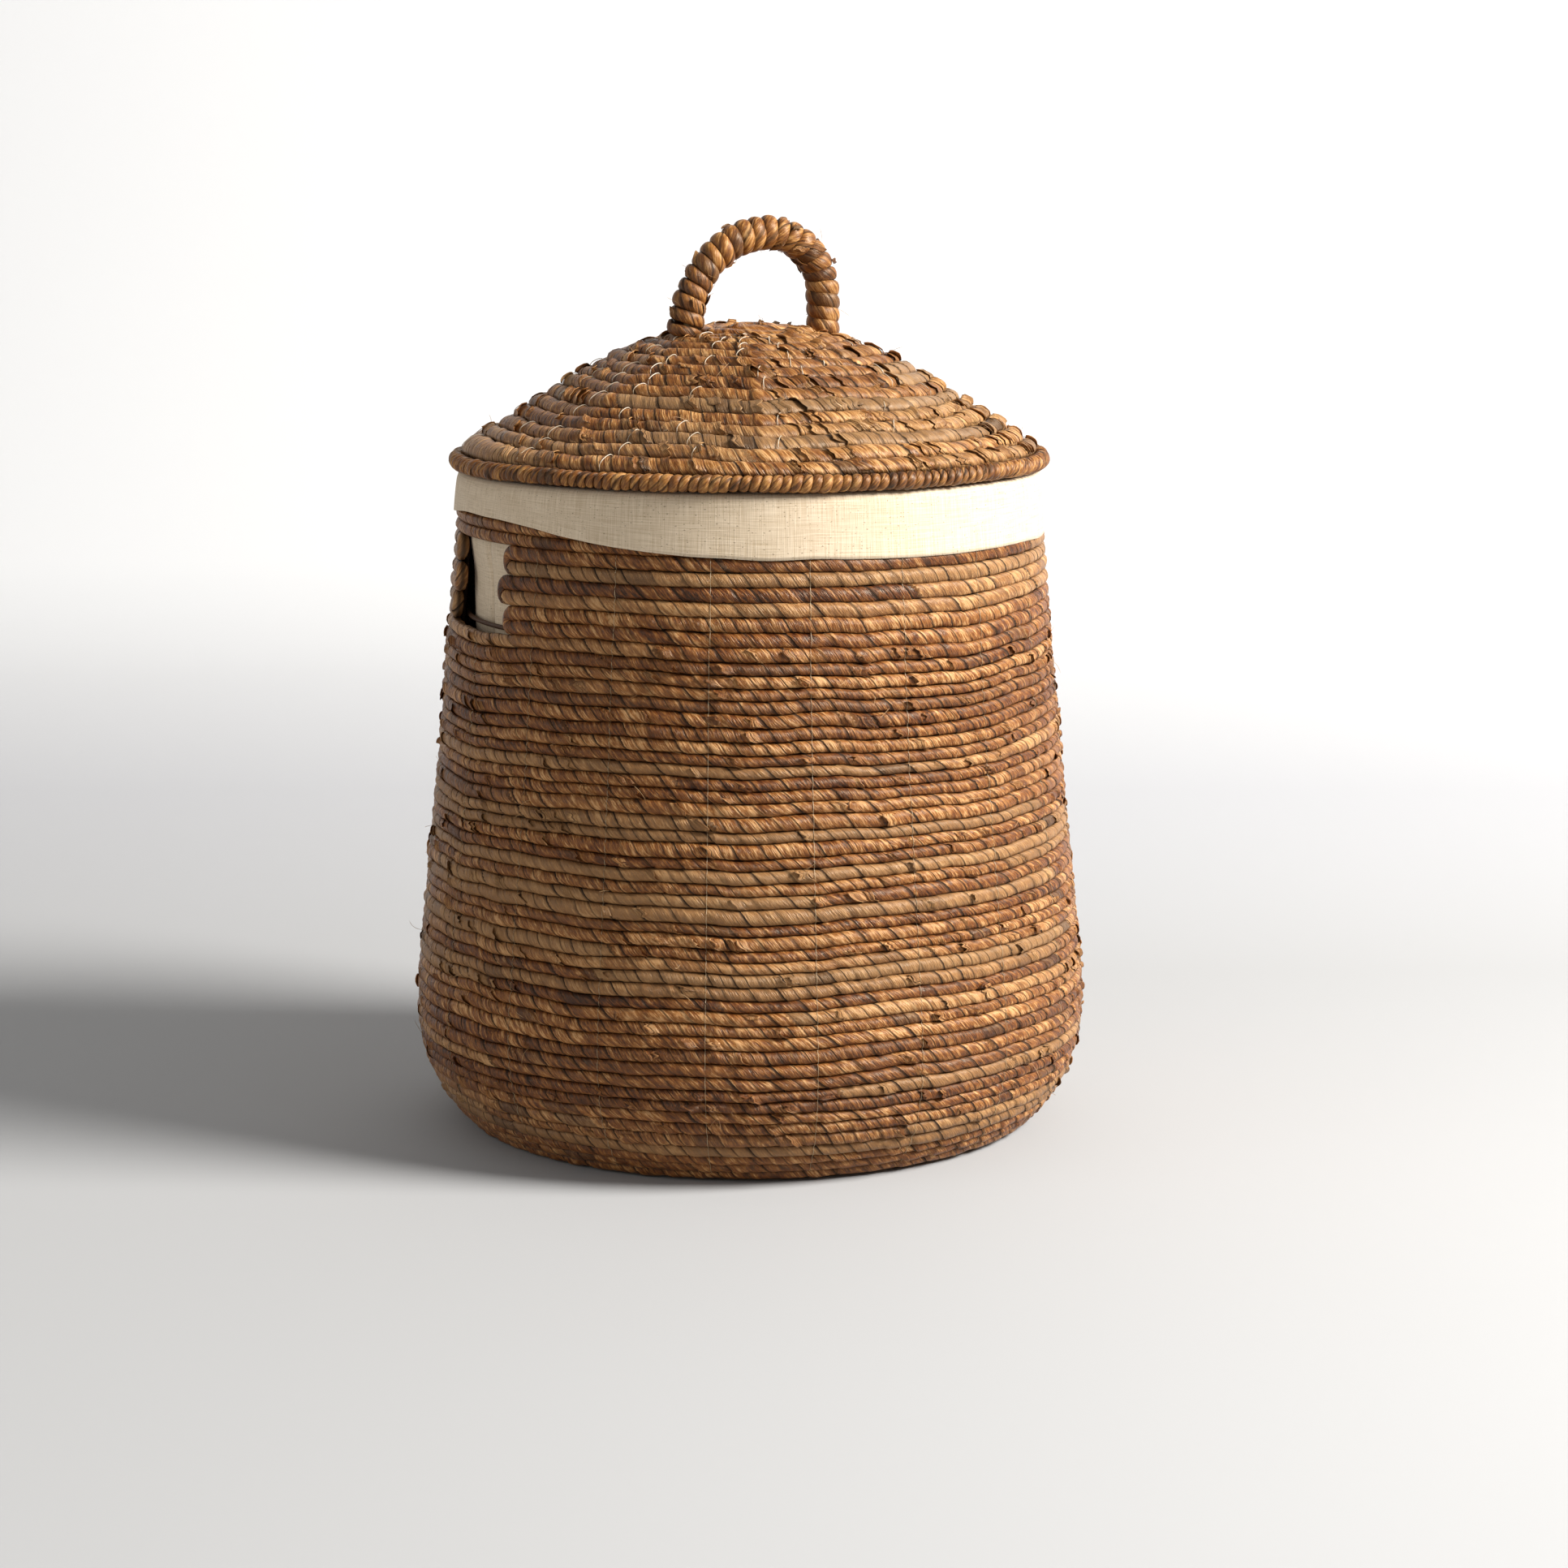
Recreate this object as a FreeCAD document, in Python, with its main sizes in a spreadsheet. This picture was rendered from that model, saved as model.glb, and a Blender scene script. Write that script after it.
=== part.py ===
import FreeCAD, Part
import math
import os
import re

import Sketcher

# A tall round laundry basket of coiled banana-bark rope, with a cloth liner and a domed lid.
# The origin is on the floor under the middle of the base. +Z is up, the two hand slots and the
# lid's handle lie along X, and the front is -Y. Lengths are millimetres, angles are degrees.

SIZES = [
    ("overall_height", 640, "floor to the top of the lid's handle"),
    ("belly_radius", 240, "wall outside at the widest row"),
    ("thread_thick", 0.6, "thread standing proud of the rope"),
    ("rope_thick", 8.6, "wall rope, and the height of one row"),
    ("belly_height", 80, "height of the widest row"),
    ("foot_arc_radius", 105, "bowl shape from the base to the widest row"),
    ("base_radius", 199, "flat spiral that the basket stands on"),
    ("belly_arc_radius", 423, "curve above the widest row"),
    ("belly_top", 125, "where that curve meets the straight wall"),
    ("lower_top", 269, "where the lower wall meets the steeper upper wall"),
    ("lower_top_radius", 222, "wall outside at that height"),
    ("slot_bottom", 371, "sill of the hand slots"),
    ("slot_top", 422.6, "head of the hand slots"),
    ("slot_half_angle", 12.8, "half of the angle that one slot takes"),
    ("loop_radius", 8.4, "rounding of a hairpin's turned end"),
    ("rim_top", 463, "top of the last row"),
    ("rim_radius", 204.5, "wall outside at the last row"),
    ("wire_radius", 1.6, "frame wire"),
    ("wire_gap", 0.3, "between a wire and what it lies against"),
    ("wire_count", 8, "uprights in the wall and ribs in the lid"),
    ("base_ring_radius", 194, "ring wire on the base"),
    ("belly_ring_height", 95, "ring wire inside the belly"),
    ("sill_ring_height", 364, "ring wire under the hand slots"),
    ("rim_ring_height", 455, "ring wire inside the rim"),
    ("thread_count", 20, "thread lines round the wall and round the lid"),
    ("thread_phase", 4, "angle of the first thread line from the X axis"),
    ("thread_angle", 0.5, "angle that one thread line takes"),
    ("thread_start", 20, "height of a thread line's lower end"),
    ("panel_thread_angle", 126, "first to last thread line between the slots"),
    ("panel_thread_count", 8, "thread lines between the slots on one side"),
    ("cloth_thick", 1.8, "liner cloth with its seam allowance"),
    ("cloth_gap", 0.4, "between the cuff and the rim rows"),
    ("liner_radius", 188, "liner bag outside"),
    ("liner_floor", 9.2, "underside of the liner's bottom"),
    ("cuff_bottom", 428, "lower edge of the folded cuff"),
    ("lid_gap", 0.3, "between the cuff's fold and the lid's cord"),
    ("cord_radius", 6, "wrapped cord round the lid's edge"),
    ("cord_core_radius", 3.4, "core inside that cord"),
    ("cord_ring_radius", 206, "middle of that cord from the axis"),
    ("lid_thick", 12, "lid rope"),
    ("lid_apex", 566.3, "top of the dome"),
    ("dome_radius", 242.6, "round middle of the dome"),
    ("cap_radius", 74, "outside of the lid's middle rows"),
    ("shoulder_radius", 130, "where the round middle meets the straight slope"),
    ("lid_edge_radius", 204.6, "outer end of the slope"),
    ("lid_edge_height", 481.1, "height of that end"),
    ("rib_start", 32, "inner end of a lid rib from the axis"),
    ("rib_end", 197, "outer end of a lid rib from the axis, over the rope"),
    ("centre_ring_radius", 28, "small ring wire under the dome"),
    ("edge_ring_reach", 186.5, "large ring wire under the dome"),
    ("edge_ring_height", 471.8, "height of that ring wire"),
    ("lid_thread_start", 78, "inner end of a lid thread line"),
    ("right_leg", 57.5, "middle of the handle's right leg from the axis"),
    ("left_leg", 45, "middle of its left leg from the axis"),
    ("handle_crown", 14, "highest point of the arch, right of the axis"),
    ("handle_radius", 11.75, "handle outside, over its wrapping"),
    ("handle_core_radius", 5, "rod inside the handle"),
    ("handle_bore_radius", 5.2, "inside of the handle's wrapping"),
    ("handle_foot", 564.4, "lower end of the wrapping"),
    ("handle_core_foot", 534, "lower end of the rod, under the lid"),
    ("leg_hole_radius", 5.3, "hole through the lid for a leg of the rod"),
    ("knot_radius", 9.3, "middle of the knot's ring round the rod"),
    ("knot_thick_radius", 4, "rope in the knot"),
    ("knot_height", 540.4, "middle of the knot"),
]

doc = FreeCAD.newDocument("woven_laundry_basket")
sheet = doc.addObject("Spreadsheet::Sheet", "Sizes")
for row, (alias, number, meaning) in enumerate(SIZES, start=1):
    sheet.set(f"A{row}", meaning)
    sheet.set(f"B{row}", str(number))
    sheet.setAlias(f"B{row}", alias)
doc.recompute()

ALIASES = {alias for alias, number, meaning in SIZES}
sub_parts = []


def formula(text):
    """The text as an expression, with each size's name looked up in the sheet."""
    words = r"[a-z_]+[a-z0-9_]*"
    return re.sub(words, lambda m: "Sizes." + m[0] if m[0] in ALIASES else m[0], text)


def value(text):
    """The number that a formula gives now."""
    return float(sheet.evalExpression(formula(text)))


# ---- the wall's outline ------------------------------------------------------------------

FOOT_CENTRE = "(belly_radius - foot_arc_radius)"
BELLY_TOP_RADIUS = (
    "(belly_radius - belly_arc_radius"
    " + sqrt(belly_arc_radius ^ 2 - (belly_top - belly_height) ^ 2))"
)
UPPER_TAPER = "((lower_top_radius - rim_radius) / (rim_top - lower_top))"
LOWER_TAPER = f"(({BELLY_TOP_RADIUS} - lower_top_radius) / (lower_top - belly_top))"
WALL_BREAKS = ["belly_height", "belly_top", "lower_top"]


def wall_radius(height, offset):
    """Radius of the wall's outer face at a height, moved outward by offset."""
    level = value(height)
    if level < value("belly_height"):
        rise = f"(foot_arc_radius + {offset}) ^ 2 - (belly_height - {height}) ^ 2"
        return f"{FOOT_CENTRE} + sqrt({rise})"
    if level == value("belly_height"):
        return f"belly_radius + {offset}"
    if level < value("belly_top"):
        rise = f"belly_arc_radius ^ 2 - ({height} - belly_height) ^ 2"
        return f"belly_radius - belly_arc_radius + sqrt({rise}) + {offset}"
    if level < value("lower_top"):
        return f"{BELLY_TOP_RADIUS} - ({height} - belly_top) * {LOWER_TAPER} + {offset}"
    return f"lower_top_radius - ({height} - lower_top) * {UPPER_TAPER} + {offset}"


def wall_line(low, high, offset):
    """Corners up the wall: radius, height, and the arc's radius to the next one, or None."""
    inside = [b for b in WALL_BREAKS if value(low) < value(b) < value(high)]
    corners = []
    for height in [low] + inside + [high]:
        bend = None
        if value(height) < value("belly_height"):
            bend = f"foot_arc_radius + {offset}"
        elif value(height) < value("belly_top"):
            bend = f"belly_arc_radius + {offset}"
        corners.append((wall_radius(height, offset), height, bend))
    return corners


# ---- the lid's outline -------------------------------------------------------------------

SHOULDER_DROP = "(dome_radius - sqrt(dome_radius ^ 2 - shoulder_radius ^ 2))"
SHOULDER_HEIGHT = f"(lid_apex - {SHOULDER_DROP})"
DOME_CENTRE = "(lid_apex - dome_radius)"
SLOPE_RUN = "(lid_edge_radius - shoulder_radius)"
SLOPE_FALL = f"({SHOULDER_HEIGHT} - lid_edge_height)"
SLOPE_LENGTH = f"sqrt({SLOPE_RUN} ^ 2 + {SLOPE_FALL} ^ 2)"
SLOPE_SINE = f"({SLOPE_FALL} / {SLOPE_LENGTH})"
SLOPE_COSINE = f"({SLOPE_RUN} / {SLOPE_LENGTH})"


def dome_point(reach, offset):
    """Corner on the lid where its outer face has radius reach, moved outward by offset."""
    if value(reach) <= value("shoulder_radius"):
        radius = f"{reach} * (dome_radius + {offset}) / dome_radius"
        rise = f"(1 - ({reach} / dome_radius) ^ 2)"
        return radius, f"{DOME_CENTRE} + (dome_radius + {offset}) * sqrt({rise})"
    fall = f"({reach} - shoulder_radius) * {SLOPE_FALL} / {SLOPE_RUN}"
    return f"{reach} + ({offset}) * {SLOPE_SINE}", (
        f"{SHOULDER_HEIGHT} - {fall} + ({offset}) * {SLOPE_COSINE}"
    )


def dome_line(near, far, offset):
    """Corners down the lid from reach near to reach far."""
    reaches = [near, far]
    if value(near) < value("shoulder_radius") < value(far):
        reaches.insert(1, "shoulder_radius")
    corners = []
    for reach in reaches:
        round_stretch = value(reach) < value("shoulder_radius")
        bend = f"dome_radius + {offset}" if round_stretch else None
        corners.append((*dome_point(reach, offset), bend))
    return corners


# ---- sketches and features ---------------------------------------------------------------

START, END = 1, 2                     # a sketch edge's two ends
ORIGIN, V_AXIS = -1, -2               # the sketch's own origin and vertical axis
LEFT, RIGHT = 1, -1                   # the side of a bend's centre, going round the outline


def there_and_back(out, back, side_out=LEFT, side_back=RIGHT):
    """Closed outline: along one line of corners and back along another."""
    corners = [(x, y, bend, side_out) for x, y, bend in out[:-1]]
    corners.append((*out[-1][:2], None, side_out))
    returning = back[::-1]
    for (x, y, _), nearer in zip(returning, returning[1:] + [(None, None, None)]):
        corners.append((x, y, nearer[2], side_back))
    return corners


def origin_feature(body, role):
    return next(item for item in body.Origin.OriginFeatures if item.Role == role)


def new_body(label):
    body = doc.addObject("PartDesign::Body", label)
    body.Label = label
    body.AllowCompound = True
    sub_parts.append(body)
    return body


def new_sketch(body, name, role):
    sketch = body.newObject("Sketcher::SketchObject", f"{body.Name}_{name}")
    sketch.AttachmentSupport = [(origin_feature(body, role), "")]
    sketch.MapMode = "FlatFace"
    return sketch


def pin_down(sketch, edge, end, across, up):
    """Tie one end of an edge to the sheet, measured from the origin."""
    if across == "0":
        sketch.addConstraint(Sketcher.Constraint("PointOnObject", edge, end, V_AXIS))
    else:
        drive(sketch, "DistanceX", (ORIGIN, START, edge, end), across)
    drive(sketch, "DistanceY", (ORIGIN, START, edge, end), up)


def drive(sketch, kind, places, text):
    """Add a constraint whose number comes from a formula."""
    number = sketch.addConstraint(Sketcher.Constraint(kind, *places, value(text)))
    sketch.setExpression(f"Constraints[{number}]", formula(text))


def arc_between(first, last, radius, side):
    """Arc from first to last, with its centre to the left or right of the way there."""
    chord = last - first
    middle = (first + last) * 0.5
    across = FreeCAD.Vector(-chord.y, chord.x, 0).normalize()
    centre = middle + across * side * math.sqrt(radius ** 2 - (chord.Length / 2) ** 2)
    ends = (first, last) if side == LEFT else (last, first)
    angles = [math.atan2(end.y - centre.y, end.x - centre.x) for end in ends]
    if angles[1] < angles[0]:
        angles[1] += 2 * math.pi
    return Part.ArcOfCircle(Part.Circle(centre, FreeCAD.Vector(0, 0, 1), radius), *angles)


def draw(sketch, corners, closed=True):
    """Outline through the corners, each edge a line or an arc, sized by the sheet."""
    points = [FreeCAD.Vector(value(x), value(y), 0) for x, y, bend, side in corners]
    count = len(corners) if closed else len(corners) - 1
    joins = []
    for index in range(count):
        x, y, bend, side = corners[index]
        first, last = points[index], points[(index + 1) % len(points)]
        if bend is None:
            edge = sketch.addGeometry(Part.LineSegment(first, last))
            joins.append((edge, START, END))
            continue
        edge = sketch.addGeometry(arc_between(first, last, value(bend), side))
        joins.append((edge, START, END) if side == LEFT else (edge, END, START))
        drive(sketch, "Radius", (edge,), bend)
    for index in range(count if closed else count - 1):
        edge, _, end = joins[index]
        next_edge, next_start, _ = joins[(index + 1) % count]
        sketch.addConstraint(Sketcher.Constraint("Coincident", edge, end, next_edge, next_start))
    for (edge, start, _), (x, y, bend, side) in zip(joins, corners):
        pin_down(sketch, edge, start, x, y)
    if not closed:
        pin_down(sketch, joins[-1][0], joins[-1][2], *corners[-1][:2])


def draw_circle(sketch, across, up, radius):
    centre = FreeCAD.Vector(value(across), value(up), 0)
    circle = Part.Circle(centre, FreeCAD.Vector(0, 0, 1), value(radius))
    edge = sketch.addGeometry(circle)
    drive(sketch, "Radius", (edge,), radius)
    centre_end = 3
    if across == "0" and up == "0":
        sketch.addConstraint(
            Sketcher.Constraint("Coincident", edge, centre_end, ORIGIN, START))
        return
    drive(sketch, "DistanceX", (ORIGIN, START, edge, centre_end), across)
    if up == "0":
        h_axis = -1
        sketch.addConstraint(Sketcher.Constraint("PointOnObject", edge, centre_end, h_axis))
    else:
        drive(sketch, "DistanceY", (ORIGIN, START, edge, centre_end), up)


def turn_round(body, sketch, angle="360"):
    """Revolve the sketch about Z, by the same amount to each side of the X axis."""
    feature = body.newObject("PartDesign::Revolution", f"{body.Name}_turned")
    feature.Profile = sketch
    feature.ReferenceAxis = (sketch, ["V_Axis"])
    feature.Midplane = True
    feature.setExpression("Angle", formula(angle))
    return feature


def repeat_round(body, feature, count, angle="360"):
    pattern = body.newObject("PartDesign::PolarPattern", f"{body.Name}_repeated")
    pattern.Originals = [feature]
    pattern.Axis = (origin_feature(body, "Z_Axis"), [""])
    pattern.setExpression("Angle", formula(angle))
    pattern.setExpression("Occurrences", formula(count))
    body.Tip = pattern
    return pattern


def turn_to(body, degrees):
    """Place a body turned about Z."""
    body.Placement = FreeCAD.Placement(
        FreeCAD.Vector(0, 0, 0), FreeCAD.Rotation(FreeCAD.Vector(0, 0, 1), degrees))


def turned_piece(label, corners, angle="360"):
    body = new_body(label)
    sketch = new_sketch(body, "outline", "XZ_Plane")
    draw(sketch, corners)
    turn_round(body, sketch, angle)
    return body


def ring(label, reach, height, radius, bore=None):
    """A ring of round section, hollow where it has a bore."""
    body = new_body(label)
    sketch = new_sketch(body, "section", "XZ_Plane")
    draw_circle(sketch, reach, height, radius)
    if bore:
        draw_circle(sketch, reach, height, bore)
    turn_round(body, sketch)
    return body


def swept_wire(label, corners, degrees):
    """A wire in an upright plane through the axis, turned to its place round the basket."""
    body = new_body(label)
    path = new_sketch(body, "path", "XZ_Plane")
    draw(path, corners, closed=False)
    doc.recompute()
    section = body.newObject("Sketcher::SketchObject", f"{label}_section")
    section.AttachmentSupport = [(path, "Edge1")]
    section.MapMode = "NormalToEdge"
    draw_circle(section, "0", "0", "wire_radius")
    pipe = body.newObject("PartDesign::AdditivePipe", f"{label}_pipe")
    pipe.Profile = section
    pipe.Spine = path
    turn_to(body, degrees)
    return body


# ---- the basket's rope rows --------------------------------------------------------------

def wall_band(label, low, high, angle="360"):
    """Rows of the wall between two heights."""
    outer = wall_line(low, high, "0")
    inner = wall_line(low, high, "-rope_thick")
    return turned_piece(label, there_and_back(outer, inner), angle)


def make_base():
    body = new_body("base_coil")
    sketch = new_sketch(body, "outline", "XY_Plane")
    draw_circle(sketch, "0", "0", "base_radius")
    pad = body.newObject("PartDesign::Pad", "base_coil_pad")
    pad.Profile = sketch
    pad.setExpression("Length", formula("rope_thick"))


def make_foot():
    """The bowl: its inner curve ends on the side of the base."""
    inner_bend = "(foot_arc_radius - rope_thick)"
    inner_low = f"belly_height - sqrt({inner_bend} ^ 2 - (base_radius - {FOOT_CENTRE}) ^ 2)"
    outer_low = f"{FOOT_CENTRE} + sqrt(foot_arc_radius ^ 2 - belly_height ^ 2)"
    corners = [
        ("base_radius", "0", None, LEFT),
        (outer_low, "0", "foot_arc_radius", LEFT),
        ("belly_radius", "belly_height", None, LEFT),
        ("belly_radius - rope_thick", "belly_height", inner_bend, RIGHT),
        ("base_radius", inner_low, None, LEFT),
    ]
    turned_piece("foot_coil", corners)


def make_hairpins():
    """Between the slots each pair of rows is one rope that turns back at both ends."""
    step = "(slot_top - slot_bottom) / 3"
    for side, degrees in (("front", -90), ("back", 90)):
        for level, name in enumerate(("low", "middle", "high")):
            low = f"(slot_bottom + {level} * {step})"
            high = f"(slot_bottom + {level + 1} * {step})"
            body = wall_band(f"{side}_hairpin_{name}", low, high, "180 - 2 * slot_half_angle")
            doc.recompute()
            turned = body.Tip
            across = [
                f"Edge{number}"
                for number, edge in enumerate(turned.Shape.Edges, start=1)
                if edge.Curve.TypeId == "Part::GeomLine"
                and abs(edge.Vertexes[0].Z - edge.Vertexes[1].Z) < value("wire_gap")
            ]
            rounding = body.newObject("PartDesign::Fillet", f"{body.Name}_loops")
            rounding.Base = (turned, across)
            rounding.setExpression("Radius", formula("loop_radius"))
            turn_to(body, degrees)


def make_thread(label, low, high, count, spread, degrees):
    """Thread lines over the rows, standing proud by the thread's thickness."""
    body = new_body(label)
    sketch = new_sketch(body, "outline", "XZ_Plane")
    outer = wall_line(low, high, "thread_thick")
    draw(sketch, there_and_back(outer, wall_line(low, high, "0")))
    line = turn_round(body, sketch, "thread_angle")
    doc.recompute()
    repeat_round(body, line, count, spread)
    turn_to(body, degrees)


# ---- the wire frame ----------------------------------------------------------------------

WIRE_DEPTH = "-(rope_thick + wire_gap + wire_radius)"
RING_DEPTH = "-(rope_thick + 2 * wire_gap + 3 * wire_radius)"
UPRIGHT_START = "(rope_thick + wire_gap + wire_radius)"


def make_wall_frame():
    ring("base_ring_wire", "base_ring_radius", UPRIGHT_START, "wire_radius")
    for name in ("belly", "sill", "rim"):
        height = f"{name}_ring_height"
        ring(f"{name}_ring_wire", wall_radius(height, RING_DEPTH), height, "wire_radius")
    count = int(value("wire_count"))
    for number in range(count):
        corners = [(*c, LEFT) for c in wall_line(UPRIGHT_START, "rim_ring_height", WIRE_DEPTH)]
        swept_wire(f"upright_wire_{number + 1}", corners, (number + 0.5) * 360 / count)


# ---- the liner ---------------------------------------------------------------------------

def make_liner():
    floor = new_body("liner_bottom")
    sketch = new_sketch(floor, "outline", "XY_Plane")
    sketch.setExpression("AttachmentOffset.Base.z", formula("liner_floor"))
    draw_circle(sketch, "0", "0", "liner_radius")
    pad = floor.newObject("PartDesign::Pad", "liner_bottom_pad")
    pad.Profile = sketch
    pad.setExpression("Length", formula("cloth_thick"))

    low = "liner_floor + cloth_thick"
    fold = "rim_top + cloth_gap"
    turned_piece("liner_wall", [
        ("liner_radius - cloth_thick", low, None, LEFT),
        ("liner_radius", low, None, LEFT),
        ("liner_radius", fold, None, LEFT),
        ("liner_radius - cloth_thick", fold, None, LEFT),
    ])

    inside = "cloth_gap"
    outside = "cloth_gap + cloth_thick"
    turned_piece("liner_cuff", [
        ("liner_radius - cloth_thick", fold, None, LEFT),
        (wall_radius("rim_top", inside), fold, None, LEFT),
        (wall_radius("cuff_bottom", inside), "cuff_bottom", None, LEFT),
        (wall_radius("cuff_bottom", outside), "cuff_bottom", None, LEFT),
        (wall_radius("rim_top", outside), f"{fold} + cloth_thick", None, LEFT),
        ("liner_radius - cloth_thick", f"{fold} + cloth_thick", None, LEFT),
    ])


# ---- the lid -----------------------------------------------------------------------------

CORD_HEIGHT = "(rim_top + cloth_gap + cloth_thick + lid_gap + cord_radius)"


def lid_band(label, near, far):
    """Rows of the lid between two reaches, going out over the top and back underneath."""
    over = dome_line(near, far, "0")
    under = dome_line(near, far, "-lid_thick")
    return turned_piece(label, there_and_back(over, under, RIGHT, LEFT))


def make_lid():
    cap = new_body("lid_centre_coil")
    sketch = new_sketch(cap, "outline", "XZ_Plane")
    top, under = dome_point("cap_radius", "0"), dome_point("cap_radius", "-lid_thick")
    draw(sketch, [
        ("0", "lid_apex", "dome_radius", RIGHT),
        (*top, None, LEFT),
        (*under, "dome_radius - lid_thick", LEFT),
        ("0", "lid_apex - lid_thick", None, LEFT),
    ])
    turn_round(cap, sketch)
    doc.recompute()
    whole = cap.Shape.Volume
    holes = new_sketch(cap, "leg_holes", "XY_Plane")
    draw_circle(holes, "right_leg", "0", "leg_hole_radius")
    draw_circle(holes, "-left_leg", "0", "leg_hole_radius")
    pocket = cap.newObject("PartDesign::Pocket", "lid_centre_coil_leg_holes")
    pocket.Profile = holes
    pocket.Type = "ThroughAll"
    pocket.Midplane = True
    doc.recompute()
    if cap.Shape.Volume >= whole:
        raise RuntimeError("the holes for the handle's legs cut nothing")

    lid_band("lid_middle_coil", "cap_radius", "shoulder_radius")
    lid_band("lid_edge_coil", "shoulder_radius", "lid_edge_radius")
    ring("lid_cord_core", "cord_ring_radius", CORD_HEIGHT, "cord_core_radius")
    ring("lid_cord_wrap", "cord_ring_radius", CORD_HEIGHT, "cord_radius", "cord_core_radius")


def make_lid_thread():
    body = new_body("lid_stitching")
    sketch = new_sketch(body, "outline", "XZ_Plane")
    over = dome_line("lid_thread_start", "lid_edge_radius", "thread_thick")
    under = dome_line("lid_thread_start", "lid_edge_radius", "0")
    draw(sketch, there_and_back(over, under, RIGHT, LEFT))
    line = turn_round(body, sketch, "thread_angle")
    doc.recompute()
    repeat_round(body, line, "thread_count")
    turn_to(body, value("thread_phase"))


def make_lid_frame():
    rib_depth = "-(lid_thick + wire_gap + wire_radius)"
    ring_depth = "-(lid_thick + 2 * wire_gap + 3 * wire_radius)"
    centre = dome_point("centre_ring_radius", ring_depth)
    ring("lid_centre_ring_wire", *centre, "wire_radius")
    ring("lid_edge_ring_wire", "edge_ring_reach", "edge_ring_height", "wire_radius")
    count = int(value("wire_count"))
    for number in range(count):
        corners = [(*c, RIGHT) for c in dome_line("rib_start", "rib_end", rib_depth)]
        swept_wire(f"lid_rib_wire_{number + 1}", corners, (number + 0.5) * 360 / count)


def make_handle():
    """An uneven arch: a rod through the lid, and the rope wrapped round it above the lid."""
    crown = "(overall_height - handle_radius)"
    right_bend = "(right_leg - handle_crown)"
    left_bend = "(left_leg + handle_crown)"
    pieces = [
        ("handle_core", "handle_core_foot", "handle_core_radius", None),
        ("handle_wrap", "handle_foot", "handle_radius", "handle_bore_radius"),
    ]
    for label, foot, radius, bore in pieces:
        body = new_body(label)
        path = new_sketch(body, "path", "XZ_Plane")
        draw(path, [
            ("right_leg", foot, None, LEFT),
            ("right_leg", f"{crown} - {right_bend}", right_bend, LEFT),
            ("handle_crown", crown, left_bend, LEFT),
            ("-left_leg", f"{crown} - {left_bend}", None, LEFT),
            ("-left_leg", foot, None, LEFT),
        ], closed=False)
        section = new_sketch(body, "section", "XY_Plane")
        section.setExpression("AttachmentOffset.Base.z", formula(foot))
        draw_circle(section, "right_leg", "0", radius)
        if bore:
            draw_circle(section, "right_leg", "0", bore)
        doc.recompute()
        pipe = body.newObject("PartDesign::AdditivePipe", f"{label}_pipe")
        pipe.Profile = section
        pipe.Spine = path
    for side, leg in (("left", "-left_leg"), ("right", "right_leg")):
        knot = doc.addObject("Part::Torus", f"{side}_handle_knot")
        knot.Label = f"{side}_handle_knot"
        knot.setExpression("Radius1", formula("knot_radius"))
        knot.setExpression("Radius2", formula("knot_thick_radius"))
        knot.setExpression("Placement.Base.x", formula(leg))
        knot.setExpression("Placement.Base.z", formula("knot_height"))
        sub_parts.append(knot)


# ---- put together ------------------------------------------------------------------------

make_base()
make_foot()
wall_band("belly_coil", "belly_height", "belly_top")
wall_band("lower_wall_coil", "belly_top", "lower_top")
wall_band("upper_wall_coil", "lower_top", "slot_bottom")
make_hairpins()
wall_band("rim_coil", "slot_top", "rim_top")

phase = value("thread_phase")
make_thread("wall_stitching", "thread_start", "slot_bottom", "thread_count", "360", phase)
first_in_panel = phase + 360 / value("thread_count")
for side, degrees in (("front", 180), ("back", 0)):
    make_thread(
        f"{side}_panel_stitching", "slot_bottom", "slot_top",
        "panel_thread_count", "panel_thread_angle", degrees + first_in_panel)

make_wall_frame()
make_liner()
make_lid()
make_lid_thread()
make_lid_frame()
make_handle()

doc.recompute()
for item in doc.Objects:
    if "Invalid" in item.State or "Error" in item.State:
        raise RuntimeError(f"{item.Name} failed: {item.State}")

os.makedirs("parts", exist_ok=True)
for piece in sub_parts:
    if piece.Shape.isNull() or not piece.Shape.isValid():
        raise RuntimeError(f"{piece.Label} has no valid shape")
    if not piece.Shape.Solids:
        raise RuntimeError(f"{piece.Label} has no solid")
    piece.Shape.exportStep(f"parts/{piece.Label}.step")

print(len(sub_parts), "pieces")
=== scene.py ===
# %% [markdown]
# # A coiled-rope laundry basket with a cloth liner and a domed lid
# The basket is made of one long rope of dried banana bark. The rope winds out from the middle of
# the base, up the wall, and stops at the sill of the two hand slots. The wall between the slots
# is made of pairs of rows that turn back on themselves like hairpins, and five rings close the
# rim. The lid is a second, thicker coil. Everything is placed from the boxes of the CAD model, in
# metres, so nothing needs fitting by hand.

import math

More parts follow.
